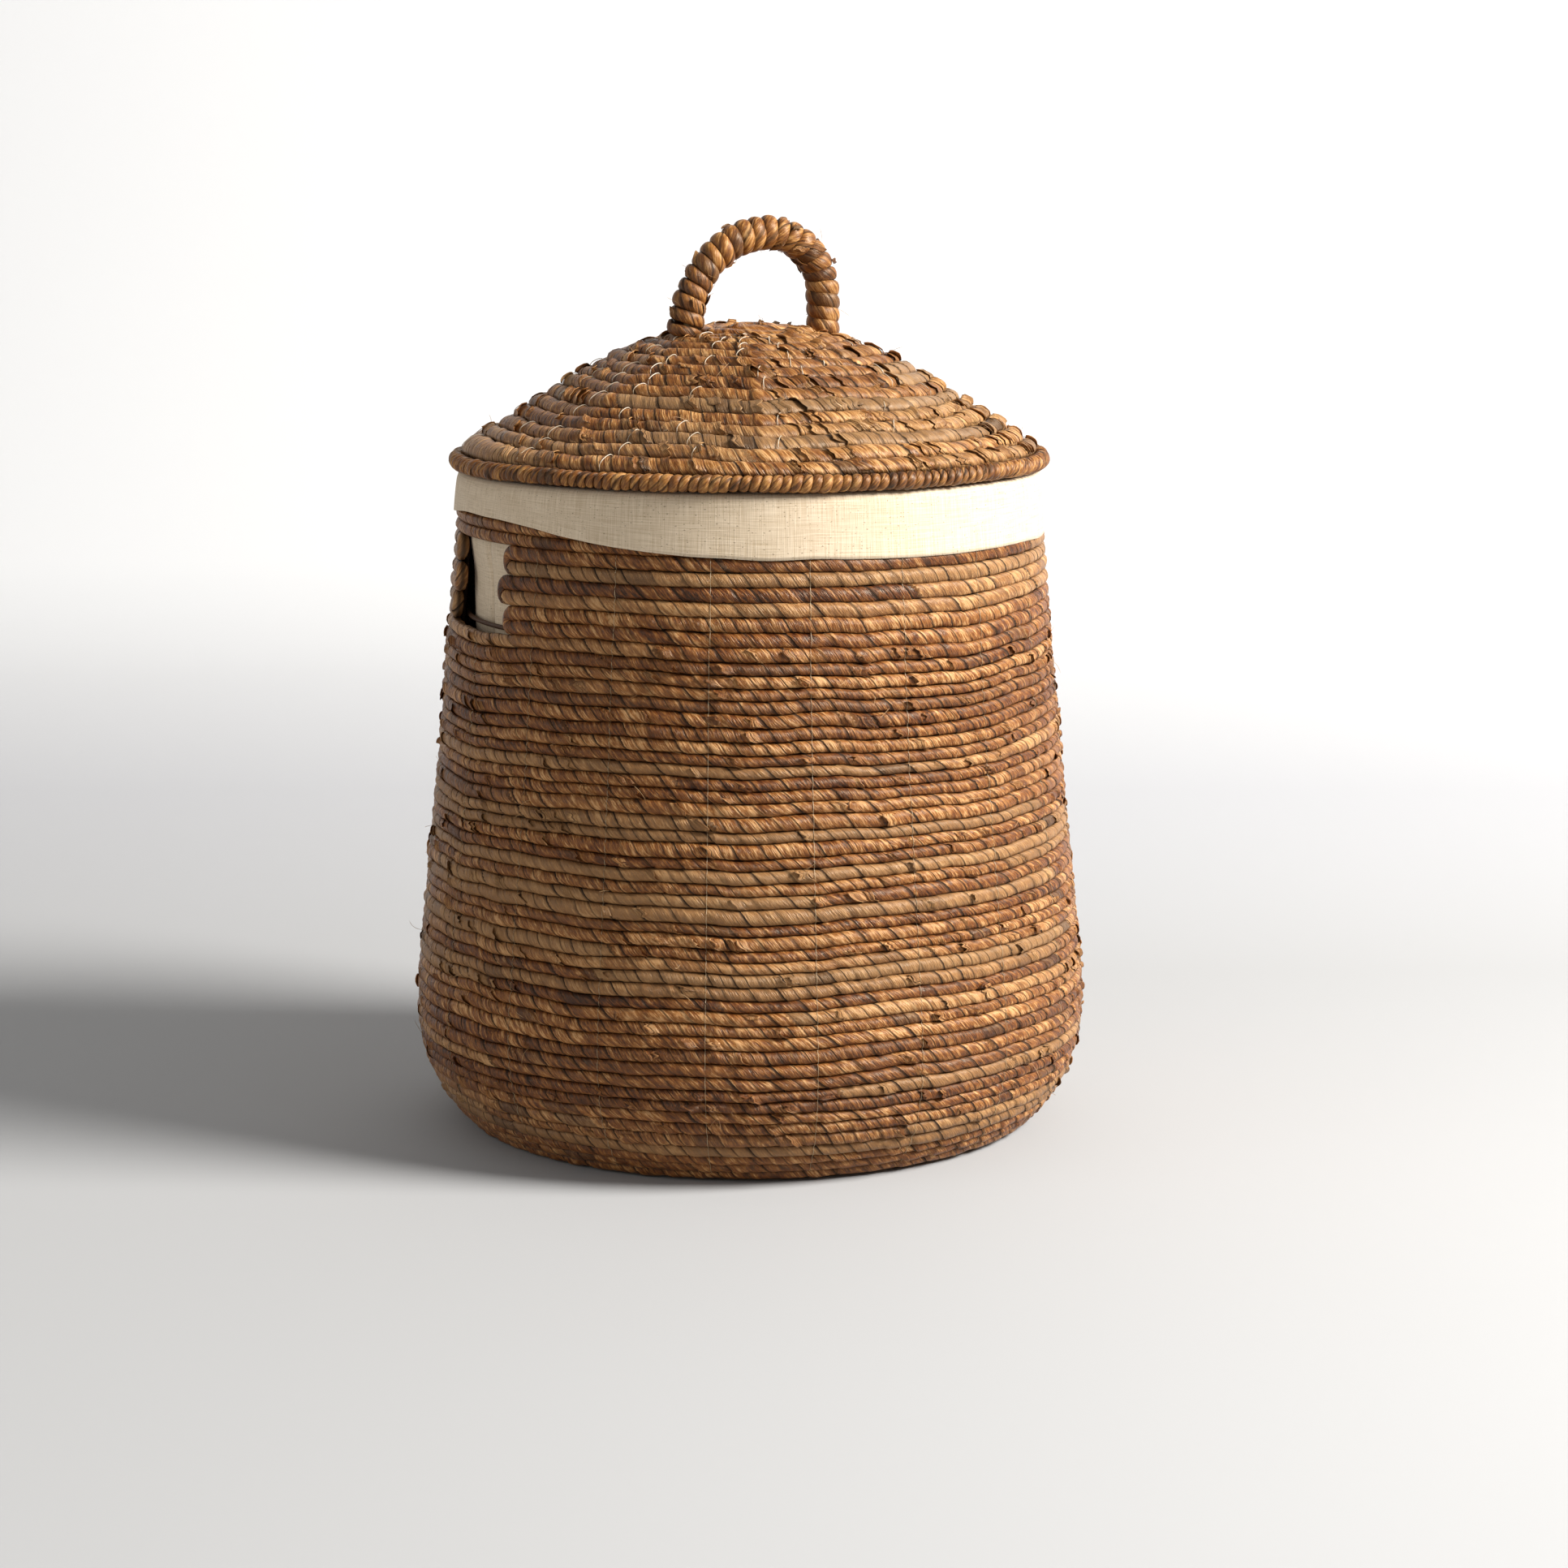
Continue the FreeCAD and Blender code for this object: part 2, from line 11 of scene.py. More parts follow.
import bpy
import numpy as np
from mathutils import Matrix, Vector


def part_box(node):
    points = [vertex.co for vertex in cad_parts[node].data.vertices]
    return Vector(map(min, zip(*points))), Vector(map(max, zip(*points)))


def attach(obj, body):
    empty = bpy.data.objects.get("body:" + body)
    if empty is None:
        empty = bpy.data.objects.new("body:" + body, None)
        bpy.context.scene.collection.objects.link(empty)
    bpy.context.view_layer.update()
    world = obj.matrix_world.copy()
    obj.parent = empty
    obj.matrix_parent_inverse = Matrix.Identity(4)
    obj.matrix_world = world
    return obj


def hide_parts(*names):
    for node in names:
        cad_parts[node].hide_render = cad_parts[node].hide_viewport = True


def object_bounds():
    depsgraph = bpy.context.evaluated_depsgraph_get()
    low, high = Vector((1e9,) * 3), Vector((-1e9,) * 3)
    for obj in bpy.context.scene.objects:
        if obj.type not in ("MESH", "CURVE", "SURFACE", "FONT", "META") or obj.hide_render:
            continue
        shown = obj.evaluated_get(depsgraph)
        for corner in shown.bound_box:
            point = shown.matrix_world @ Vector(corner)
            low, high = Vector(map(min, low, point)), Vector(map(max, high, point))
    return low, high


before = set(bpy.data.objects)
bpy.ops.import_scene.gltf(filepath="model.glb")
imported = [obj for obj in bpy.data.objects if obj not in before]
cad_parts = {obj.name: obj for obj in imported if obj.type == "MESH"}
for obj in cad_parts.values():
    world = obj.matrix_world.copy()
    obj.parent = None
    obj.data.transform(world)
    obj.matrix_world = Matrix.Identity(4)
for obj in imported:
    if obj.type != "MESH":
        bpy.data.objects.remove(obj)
cad_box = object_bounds()
MM = 0.001
print("CAD box", [[round(float(v), 4) for v in corner] for corner in cad_box])

# %% [markdown]
# ## Camera
# The basket is seen from a little above, turned so that one hand slot shows at the left edge.
# A long lens from 2.6 metres keeps the sides nearly parallel. The camera comes first because
# its direction also decides where the lights stand.

# %% Camera
VIEW_AZIMUTH = math.radians(-25.5)
VIEW_DISTANCE = 2.6
VIEW_HEIGHT = 0.688
VIEW_WIDTH_SEEN = 1.127
AIM_RIGHT = 0.0244
AIM_HEIGHT = 0.2365
SENSOR_WIDTH = 36

to_camera = Vector((math.sin(VIEW_AZIMUTH), -math.cos(VIEW_AZIMUTH), 0))
camera_right = Vector((math.cos(VIEW_AZIMUTH), math.sin(VIEW_AZIMUTH), 0))
aim = camera_right * AIM_RIGHT + Vector((0, 0, AIM_HEIGHT))
rise = VIEW_HEIGHT - AIM_HEIGHT
ground_run = math.sqrt(VIEW_DISTANCE ** 2 - rise ** 2)

camera_data = bpy.data.cameras.new("camera")
camera_data.sensor_width = SENSOR_WIDTH
camera_data.lens = SENSOR_WIDTH * VIEW_DISTANCE / VIEW_WIDTH_SEEN
camera = bpy.data.objects.new("camera", camera_data)
bpy.context.scene.collection.objects.link(camera)
camera.location = aim + to_camera * ground_run + Vector((0, 0, rise))
camera.rotation_euler = (aim - camera.location).to_track_quat("-Z", "Y").to_euler()
bpy.context.scene.camera = camera
print("camera at", [round(v, 3) for v in camera.location], "lens", round(camera_data.lens, 1))

# %% [markdown]
# ## Small helpers for materials
# Colours are written as the hex values that a colour picker shows, and turned to linear light
# once. One function adds a node, sets its properties and input values, and links its inputs.

# %% Colour and node helpers
def linear(hex_colour):
    """Linear RGBA of an sRGB hex colour such as "#B98A55"."""
    parts = [int(hex_colour[i:i + 2], 16) / 255 for i in (1, 3, 5)]
    return [p / 12.92 if p <= 0.04045 else ((p + 0.055) / 1.055) ** 2.4 for p in parts] + [1]


def add(tree, kind, links=None, values=None, **settings):
    """Adds a node, sets its properties and input values, and links sockets to its inputs."""
    node = tree.nodes.new(kind)
    for key, value in settings.items():
        setattr(node, key, value)
    for key, value in (values or {}).items():
        node.inputs[key].default_value = value
    for key, socket in (links or {}).items():
        tree.links.new(socket, node.inputs[key])
    return node


def new_material(name):
    """An empty material with a principled shader; returns the material, its tree and shader."""
    material = bpy.data.materials.new(name)
    material.use_nodes = True
    tree = material.node_tree
    return material, tree, tree.nodes["Principled BSDF"]


def set_ramp(node, stops):
    """Puts colour stops (place, hex) on a colour ramp node."""
    ramp = node.color_ramp
    while len(ramp.elements) < len(stops):
        ramp.elements.new(0.5)
    for element, (place, colour) in zip(ramp.elements, stops):
        element.position = place
        element.color = linear(colour)

# %% [markdown]
# ## The rope's bark
# Dried banana bark is a papery strip, wound round and round into a rope. It has a satin shine,
# fine fibres that run along the strip, and a crease where one turn of the strip lies over the
# last; the crease is real relief, and its dark line is painted shadow at the step. Every rope
# mesh here carries two attributes. "rope" holds the place along the rope in mm, round the rope in
# turns, and the number of strips wound on so far, whose fraction is the place across the strip.
# "bark" holds the tone, greyness and darkness of that length of bark, and a random number. A strip
# is about 22 mm wide. Its fibres are 0.3 mm apart, which is too fine to show, so they are drawn as
# bundles 3 mm apart, 7 a strip, with finer lines 0.9 mm apart.

# %% Fibres of the bark
FIBRES_PER_STRIP = 7
FINE_FIBRES_PER_STRIP = 24
FIBRE_STRETCH = 3.0
PATCH_LENGTH = 24
PATCHES_PER_LENGTH = 1.6
STRIP_SHIFT = 31


def fibre_noise(tree, around, winding, strip_chance, count, stretch, detail):
    """Noise drawn out along the strip, with so many fibres across it; new for each strip."""
    cross = add(tree, "ShaderNodeMath", {0: winding}, {1: count}, operation="MULTIPLY")
    run = add(tree, "ShaderNodeMath", {0: around}, {1: stretch}, operation="MULTIPLY")
    shift = add(tree, "ShaderNodeMath", {0: strip_chance}, {1: STRIP_SHIFT},
                operation="MULTIPLY")
    spot = add(tree, "ShaderNodeCombineXYZ",
               {0: cross.outputs[0], 1: run.outputs[0], 2: shift.outputs[0]})
    noise = add(tree, "ShaderNodeTexNoise", {"Vector": spot.outputs[0]},
                {"Scale": 1, "Detail": detail, "Roughness": 0.6})
    return noise.outputs[0]


def weighed(tree, before, socket, weight):
    """Adds to a value how far a socket lies above the middle of its range, times a weight."""
    centred = add(tree, "ShaderNodeMath", {0: socket}, {1: 0.5}, operation="SUBTRACT")
    return add(tree, "ShaderNodeMath", {0: centred.outputs[0], 2: before}, {1: weight},
               operation="MULTIPLY_ADD").outputs[0]

# %% Creases of the bark, with painted shadow
LAP_STARTS = 0.85
LAP_FULL = 0.96
SPLIT_AT = 0.47
STRIPS_WITHOUT_SPLIT = 0.45
LINE_STRENGTH = 0.75


def dark_line(tree, socket, middle, inner, outer):
    """A mask for a line at one value of a socket: full up to inner, nothing from outer on."""
    offset = add(tree, "ShaderNodeMath", {0: socket}, {1: middle}, operation="SUBTRACT")
    away = add(tree, "ShaderNodeMath", {0: offset.outputs[0]}, operation="ABSOLUTE")
    return add(tree, "ShaderNodeMapRange", {0: away.outputs[0]},
               {1: inner, 2: outer, 3: LINE_STRENGTH, 4: 0}).outputs[0]


def strip_creases_and_painted_shade(tree, across, dice, lap_shade_depth):
    """The crease where a strip laps the next one, and on some a split: its dark is painted shadow."""
    edge = add(tree, "ShaderNodeMapRange", {0: across}, {1: LAP_STARTS, 2: LAP_FULL, 3: 0, 4: 1})
    strength = add(tree, "ShaderNodeMapRange", {0: dice.outputs[1]},
                   {1: 0.1, 2: 0.6, 3: 0.15, 4: lap_shade_depth})
    lap = add(tree, "ShaderNodeMath", {0: edge.outputs[0], 1: strength.outputs[0]},
              operation="MULTIPLY")
    has_split = add(tree, "ShaderNodeMath", {0: dice.outputs[0]}, {1: STRIPS_WITHOUT_SPLIT},
                    operation="GREATER_THAN")
    split = add(tree, "ShaderNodeMath",
                {0: dark_line(tree, across, SPLIT_AT, 0.01, 0.045), 1: has_split.outputs[0]},
                operation="MULTIPLY")
    return add(tree, "ShaderNodeMath", {0: lap.outputs[0], 1: split.outputs[0]},
               operation="MAXIMUM").outputs[0]

# %% Bark material
SHADE_PLACES = (0.00, 0.22, 0.45, 0.68, 0.95)
OLD_STRIPS_FROM = 0.94
GROOVE_SHADE_AT = 0.25


def bark_shade(tree, tone, strip_chance, fibres, fine_fibres, patches):
    """Light and dark of the bark: its own tone, then the strip, the fibres and soft patches."""
    shade = tone
    for socket, weight in ((strip_chance, 0.24), (fibres, 1.8), (fine_fibres, 1.4), (patches, 0.7)):
        shade = weighed(tree, shade, socket, weight)
    return shade


def banana_bark(name, shades, grey_hex, dark_hex, lap_shade_depth, relief_height):
    """Twisted banana bark: fibres along the strip, a shade for each strip, dark creases."""
    material, tree, shader = new_material(name)
    rope = add(tree, "ShaderNodeAttribute", attribute_name="rope")
    bark = add(tree, "ShaderNodeAttribute", attribute_name="bark")
    place = add(tree, "ShaderNodeSeparateXYZ", {0: rope.outputs["Vector"]})
    look = add(tree, "ShaderNodeSeparateColor", {0: bark.outputs["Color"]})
    along, around, winding = place.outputs
    tone, grey, dark = look.outputs
    chance = bark.outputs["Alpha"]

    strip = add(tree, "ShaderNodeMath", {0: winding}, operation="FLOOR")
    across = add(tree, "ShaderNodeMath", {0: winding}, operation="FRACT").outputs[0]
    strip_key = add(tree, "ShaderNodeCombineXYZ", {0: strip.outputs[0], 1: chance})
    strip_dice = add(
        tree, "ShaderNodeTexWhiteNoise", {0: strip_key.outputs[0]}, noise_dimensions="2D")
    dice = add(tree, "ShaderNodeSeparateColor", {0: strip_dice.outputs["Color"]})
    strip_chance = strip_dice.outputs["Value"]
    fibres = fibre_noise(tree, around, winding, strip_chance, FIBRES_PER_STRIP, FIBRE_STRETCH, 3)
    fine_fibres = fibre_noise(tree, around, winding, strip_chance, FINE_FIBRES_PER_STRIP,
                              2 * FIBRE_STRETCH, 2)
    patch_run = add(tree, "ShaderNodeMath", {0: along}, {1: 1 / PATCH_LENGTH},
                    operation="MULTIPLY")
    patch_spot = add(tree, "ShaderNodeCombineXYZ",
                     {0: patch_run.outputs[0], 1: around, 2: chance})
    patches = add(tree, "ShaderNodeTexNoise", {"Vector": patch_spot.outputs[0]},
                  {"Scale": PATCHES_PER_LENGTH, "Detail": 3, "Roughness": 0.6}).outputs[0]

    warm = add(tree, "ShaderNodeValToRGB",
               {0: bark_shade(tree, tone, dice.outputs[0], fibres, fine_fibres, patches)})
    set_ramp(warm, list(zip(SHADE_PLACES, shades)))
    colour = add(tree, "ShaderNodeMix", {0: grey, 6: warm.outputs[0]}, {7: linear(grey_hex)},
                 data_type="RGBA")
    stain = add(tree, "ShaderNodeMath", {0: dark, 1: patches}, operation="MULTIPLY")
    old_strip = add(tree, "ShaderNodeMapRange", {0: dice.outputs[2]},
                    {1: OLD_STRIPS_FROM, 2: 1.0, 3: 0, 4: LINE_STRENGTH})
    darkness = add(tree, "ShaderNodeMath", {0: stain.outputs[0], 1: old_strip.outputs[0]},
                   operation="MAXIMUM")
    creases_and_painted_shade = strip_creases_and_painted_shade(tree, across, dice, lap_shade_depth)
    # Painted shade: the rope's top and bottom, where it meets the rows above and below, are darkened as
    # the groove's shade.
    side = add(tree, "ShaderNodeMath", {0: around}, operation="ABSOLUTE")
    groove = dark_line(tree, side.outputs[0], GROOVE_SHADE_AT, 0.02, 0.10)
    # Darkness is the bark's own stains; #1F1008 is painted shadow in the creases, #170B04 painted shade in
    # the grooves.
    for mask, hex_colour in ((darkness.outputs[0], dark_hex), (creases_and_painted_shade, "#1F1008"),
                             (groove, "#170B04")):
        colour = add(tree, "ShaderNodeMix", {0: mask, 6: colour.outputs[2]},
                     {7: linear(hex_colour)}, data_type="RGBA")
    tree.links.new(colour.outputs[2], shader.inputs["Base Color"])

    shine = add(tree, "ShaderNodeMapRange", {0: fibres}, {1: 0.3, 2: 0.7, 3: 0.34, 4: 0.55})
    dull = add(tree, "ShaderNodeMath", {0: creases_and_painted_shade, 2: shine.outputs[0]}, {1: 0.5},
               operation="MULTIPLY_ADD", use_clamp=True)
    tree.links.new(dull.outputs[0], shader.inputs["Roughness"])
    shader.inputs["Specular IOR Level"].default_value = 0.55
    shader.inputs["Specular Tint"].default_value = linear("#FAE8D0")
    height = add(tree, "ShaderNodeMath",
                 {0: creases_and_painted_shade, 2: weighed(tree, fibres, fine_fibres, 0.5)}, {1: -0.45},
                 operation="MULTIPLY_ADD")
    relief = add(tree, "ShaderNodeBump", {"Height": height.outputs[0]},
                 {"Strength": 0.9, "Distance": relief_height})
    tree.links.new(relief.outputs[0], shader.inputs["Normal"])
    return material


wall_bark = banana_bark(
    "twisted_banana_bark", ("#280F05", "#52260B", "#744017", "#965F2A", "#CE9D68"),
    "#94714A", "#2A1510", 1.0, 1.5 * MM)
print("material", wall_bark.name)

# %% [markdown]
# ## Making one rope
# A rope could be a bevelled curve, but then every row would look machine made. Here the mesh is
# made point by point instead: the section is a soft rectangle, each turn of the strip makes a
# small step, and the thickness wanders. The same function makes every rope of the basket.

# %% Smooth random values
def waver(x, seed, wrap=0):
    """A smooth random curve between -1 and 1, with a new value at every whole x."""
    count = wrap or int(np.max(x)) + 3
    knots = np.random.default_rng(seed).uniform(-1, 1, count)
    low = np.floor(x).astype(int)
    ease = x - low
    ease = ease * ease * (3 - 2 * ease)
    return knots[low % count] * (1 - ease) + knots[(low + 1) % count] * ease


def dapple(x, y, rows, seed, wrap=0):
    """The same over a surface; y runs from 0 to 1 round the rope and joins up."""
    count = wrap or int(np.max(x)) + 3
    knots = np.random.default_rng(seed).uniform(-1, 1, (count, rows))
    low_x = np.floor(x).astype(int)
    low_y = np.floor(y * rows).astype(int)
    ease_x = x - low_x
    ease_y = y * rows - low_y
    ease_x = ease_x * ease_x * (3 - 2 * ease_x)
    ease_y = ease_y * ease_y * (3 - 2 * ease_y)
    sides = []
    for row in (low_y % rows, (low_y + 1) % rows):
        here = knots[low_x % count, row]
        there = knots[(low_x + 1) % count, row]
        sides.append(here * (1 - ease_x) + there * ease_x)
    return sides[0] * (1 - ease_y) + sides[1] * ease_y


def wrapped(angle, period=2 * math.pi):
    """An angle brought to within half a period of zero."""
    return (angle + period / 2) % period - period / 2

# %% The lengths of bark in a rope
TONES = {  # how often, tone, greyness, darkness
    "golden": (0.36, 0.56, 0.00, 0.02),
    "orange": (0.26, 0.49, 0.00, 0.05),
    "grey": (0.17, 0.58, 0.55, 0.02),
    "red_brown": (0.10, 0.42, 0.00, 0.15),
    "straw": (0.09, 0.66, 0.25, 0.00),
    "dark": (0.02, 0.38, 0.00, 0.60),
}
TONE_SPREAD = (0.05, 0.05, 0.02)
NARROWEST_STRIP = 16
WIDEST_STRIP = 29
LARGEST_CHANCE = 50


def bark_lengths(total, seed, shortest=110, longest=850, thick_spread=0.14):
    """Random lengths of bark along a rope, in mm: ends, looks, thickness and strip width."""
    rng = np.random.default_rng(seed)
    ends = np.cumsum(rng.uniform(shortest, longest, int(total / shortest) + 3))
    chances = np.array([t[0] for t in TONES.values()])
    kinds = rng.choice(len(chances), len(ends), p=chances / chances.sum())
    looks = np.array([t[1:] for t in TONES.values()])[kinds]
    looks = looks + rng.normal(0, TONE_SPREAD, looks.shape)
    chance = rng.random((len(ends), 1)) * LARGEST_CHANCE
    return {
        "ends": ends,
        "looks": np.clip(np.hstack([looks, chance]), 0, LARGEST_CHANCE),
        "thick": 1 + rng.uniform(-thick_spread, thick_spread, len(ends)),
        "strip": rng.uniform(NARROWEST_STRIP, WIDEST_STRIP, len(ends)),
    }


def along_lengths(lengths, key, s, blend=0.0):
    """A property of the bark lengths at each distance s (mm), blended over that many mm."""
    values = lengths[key]
    if not blend:
        return values[np.searchsorted(lengths["ends"], s)]
    xs = np.concatenate([[0], np.repeat(lengths["ends"][:-1], 2)])
    xs[1::2] -= blend / 2
    xs[2::2] += blend / 2
    return np.interp(s, xs, np.repeat(values, 2)[:len(xs)])


def gaps_of(points, closed=False):
    """Gaps in mm between the points of a line; a closed line ends with the way back."""
    ends = np.vstack([points, points[:1]]) if closed else points
    return np.linalg.norm(np.diff(ends, axis=0), axis=1) / MM


def distances(points, closed=False):
    """Distance in mm along a line of points, from its start."""
    return np.concatenate([[0], np.cumsum(gaps_of(points, closed))])


def winding_along(lengths, points, closed=False):
    """How many strips of bark are wound on up to each point of a line."""
    strip = along_lengths(lengths, "strip", distances(points, closed), 40)
    return np.concatenate([[0], np.cumsum(gaps_of(points, closed) / strip[:-1])])

# %% Mesh from lists of points
def mesh_object(name, points, quads, triangles=(), attributes=None):
    """A smooth-shaded mesh object from numpy arrays of points and faces."""
    mesh = bpy.data.meshes.new(name)
    triangles = np.array(triangles, dtype=np.int32).reshape(-1, 3)
    corners = np.concatenate([quads.ravel(), triangles.ravel()]).astype(np.int32)
    starts = np.concatenate([
        np.arange(len(quads)) * 4, len(quads) * 4 + np.arange(len(triangles)) * 3])
    mesh.vertices.add(len(points))
    mesh.vertices.foreach_set("co", points.astype(np.float32).ravel())
    mesh.loops.add(len(corners))
    mesh.loops.foreach_set("vertex_index", corners)
    mesh.polygons.add(len(starts))
    mesh.polygons.foreach_set("loop_start", starts.astype(np.int32))
    mesh.polygons.foreach_set("use_smooth", np.ones(len(starts), dtype=bool))
    mesh.update(calc_edges=True)
    for key, (kind, values) in (attributes or {}).items():
        layer = mesh.attributes.new(key, kind, "CORNER")
        field = "color" if kind == "FLOAT_COLOR" else "vector"
        extra = len(corners) - len(values)
        values = np.concatenate([values, np.repeat(values[-1:], extra, axis=0)])
        layer.data.foreach_set(field, values.astype(np.float32).ravel())
    piece = bpy.data.objects.new(name, mesh)
    bpy.context.scene.collection.objects.link(piece)
    return piece


def grid_cells(rows, columns):
    """Row and column numbers of every cell of a grid, as two flat arrays."""
    i, j = np.meshgrid(np.arange(rows), np.arange(columns), indexing="ij")
    return i.ravel(), j.ravel()


def unit(vectors):
    """The vectors at length one."""
    return vectors / np.linalg.norm(vectors, axis=-1, keepdims=True)


def rope_frame(centre, out, closed):
    """Unit tangent, outward and upward directions along a centre-line."""
    if closed:
        tangent = np.roll(centre, -1, axis=0) - np.roll(centre, 1, axis=0)
    else:
        tangent = np.gradient(centre, axis=0)
    tangent = unit(tangent)
    out = unit(out - np.sum(out * tangent, axis=1, keepdims=True) * tangent)
    return tangent, out, np.cross(out, tangent)

# %% Steps and lumps on a rope
STEP_STRENGTHS = {0.15: 0.25, 0.5: 0.3, 1.0: 0.3, 1.5: 0.15}
SWELL_SPREAD = 0.02
COARSE_LUMP = 38
FINE_LUMP = 7
FINE_LUMPS_ROUND = 5


def strip_relief(s, turn, wound, step, lumps, seed, closed):
    """How far a rope's surface swells, and the step that each strip makes over the next."""
    whole = np.floor(wound)
    rank = (whole - whole.min()).astype(int)
    strips = rank.max() + 1
    rng = np.random.default_rng(seed)
    strength = rng.choice(list(STEP_STRENGTHS), strips, p=list(STEP_STRENGTHS.values()))[rank]
    swell = rng.normal(0, SWELL_SPREAD, strips)[rank]
    saw = (0.5 - (wound - whole)) * strength * step * MM
    loops = []
    scales = []
    for size in (COARSE_LUMP, FINE_LUMP):
        loops.append(max(3, round(s[-1] / size)) if closed else 0)
        scales.append(loops[-1] / s[-1] if closed else 1 / size)
    coarse = waver(s * scales[0], seed + 1, loops[0])[:, None]
    fine = dapple(s[:, None] * scales[1], turn[None, :] + 0.5, FINE_LUMPS_ROUND, seed + 2,
                  loops[1])
    return 1 + swell + lumps * (coarse * 0.6 + fine * 0.7), saw

# %% The rope mesh
SQUARENESS = 2.1


def soft_square(wave):
    """A sine or cosine bent so that a circle becomes a rounded square."""
    return np.sign(wave) * np.abs(wave) ** (2 / SQUARENESS)


def rope_piece(name, centre, out, half_out, half_up, lengths, seed, start=0.0,
               closed=False, around=16, step=1.2, lumps=0.08, winding=None):
    """A rope of twisted bark. Sizes in metres, start and step in mm. Returns the object."""
    out, up = rope_frame(centre, out, closed)[1:]
    s = start + distances(centre, closed)
    if winding is None:
        winding = winding_along(lengths, centre, closed)
        if closed:
            winding *= max(1, round(winding[-1])) / winding[-1]
    turn = np.linspace(-0.5, 0.5, around + 1)
    wound = winding[:, None] + turn[None, :]
    grow, saw = strip_relief(s, turn, wound, step, lumps, seed, closed)
    rows = len(centre)
    grow = grow[:rows, :-1]
    saw = saw[:rows, :-1]
    angle = turn[None, :-1] * 2 * math.pi
    reach_out = half_out[:, None] * grow + saw
    reach_up = half_up[:, None] * (1 + 0.4 * (grow - 1)) + 0.5 * saw
    points = (centre[:, None, :]
              + (soft_square(np.cos(angle)) * reach_out)[:, :, None] * out[:, None, :]
              + (soft_square(np.sin(angle)) * reach_up)[:, :, None] * up[:, None, :])
    points[..., 2] = np.maximum(points[..., 2], 0)

    i, j = grid_cells(rows if closed else rows - 1, around)
    next_i = (i + 1) % rows
    next_j = (j + 1) % around
    quads = np.stack([i * around + j, next_i * around + j,
                      next_i * around + next_j, i * around + next_j], axis=1)
    strip = along_lengths(lengths, "strip", s, 40)
    look_at = np.clip(s[:, None] + turn[None, :] * strip[:, None], 0, None)
    looks = along_lengths(lengths, "looks", look_at)
    place = np.stack(np.broadcast_arrays(s[:, None], turn[None, :], wound), axis=2)
    corner_i = np.stack([i, i + 1, i + 1, i], axis=1)
    corner_j = np.stack([j, j, j + 1, j + 1], axis=1)
    flat = points.reshape(-1, 3)
    caps = []
    if not closed:
        first = len(flat)
        last_ring = (rows - 1) * around
        flat = np.vstack([flat, centre[:1], centre[-1:]])
        for k in range(around):
            after = (k + 1) % around
            caps.append((first, k, after))
            caps.append((first + 1, last_ring + after, last_ring + k))
    return mesh_object(name, flat, quads, caps, {
        "rope": ("FLOAT_VECTOR", place[corner_i, corner_j].reshape(-1, 3)),
        "bark": ("FLOAT_COLOR", looks[corner_i, corner_j].reshape(-1, 4)),
    })


def finish_piece(piece, body, material, nodes=()):
    """Gives a piece its material and the body it rides on, and hides the CAD nodes it stands for."""
    piece.data.materials.append(material)
    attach(piece, body)
    if nodes:
        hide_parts(*nodes)

# %% [markdown]
# ## The wall's outline
# The centre of the rope follows one line: flat across the base, round the foot, over the belly
# and then up two nearly straight stretches. The heights and radii come from the boxes of the CAD
# nodes. The line is turned into a table of distance, radius, height and outward direction.

# %% Wall outline
ROPE_HALF = 4.3 * MM
FOOT_BEND = 105 * MM
BELLY_BEND = 423 * MM
RIM_RADIUS = 204.5 * MM
SOFTEN_OVER = 25


def top_of(node):
    """The height of a CAD node's top."""
    return float(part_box(node)[1][2])


def foot_of(node):
    """The height of a CAD node's underside."""
    return float(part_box(node)[0][2])


def reach_of(node):
    """How far a CAD node reaches to the right."""
    return float(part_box(node)[1][0])


def soften(values):
    """A running mean over the samples of a curve, with its ends held."""
    held = np.pad(values, SOFTEN_OVER // 2, mode="edge")
    return np.convolve(held, np.ones(SOFTEN_OVER) / SOFTEN_OVER, "valid")


belly_low = foot_of("belly_coil")
belly_high = top_of("belly_coil")
shoulder_high = top_of("lower_wall_coil")
sill_high = top_of("upper_wall_coil")
lintel_high = foot_of("rim_coil")
rim_high = top_of("rim_coil")

inner_bend = FOOT_BEND - ROPE_HALF
foot_start = -math.asin((belly_low - ROPE_HALF) / inner_bend)
foot_angles = np.linspace(foot_start, 0, 60)
foot_r = reach_of("belly_coil") - FOOT_BEND + inner_bend * np.cos(foot_angles)
foot_z = belly_low + inner_bend * np.sin(foot_angles)
belly_z = np.linspace(belly_low, belly_high, 30)[1:]
belly_r = (reach_of("belly_coil") - BELLY_BEND
           + np.sqrt((BELLY_BEND - ROPE_HALF) ** 2 - (belly_z - belly_low) ** 2))
upper_z = np.array([shoulder_high, rim_high])
upper_r = np.array([reach_of("upper_wall_coil"), RIM_RADIUS]) - ROPE_HALF
base_r = np.linspace(ROPE_HALF, foot_r[0], 60)[:-1]

line_r = np.concatenate([base_r, foot_r, belly_r, upper_r])
line_z = np.concatenate([np.full(len(base_r), ROPE_HALF), foot_z, belly_z, upper_z])
line_d = np.concatenate([[0], np.cumsum(np.hypot(np.diff(line_r), np.diff(line_z)))])
base_length = line_d[len(base_r)]
fine_d = np.linspace(0, line_d[-1], 1500)
fine_r = np.interp(fine_d, line_d, line_r)
fine_z = np.interp(fine_d, line_d, line_z)
lean_r = soften(np.gradient(fine_z, fine_d))
lean_z = soften(-np.gradient(fine_r, fine_d))


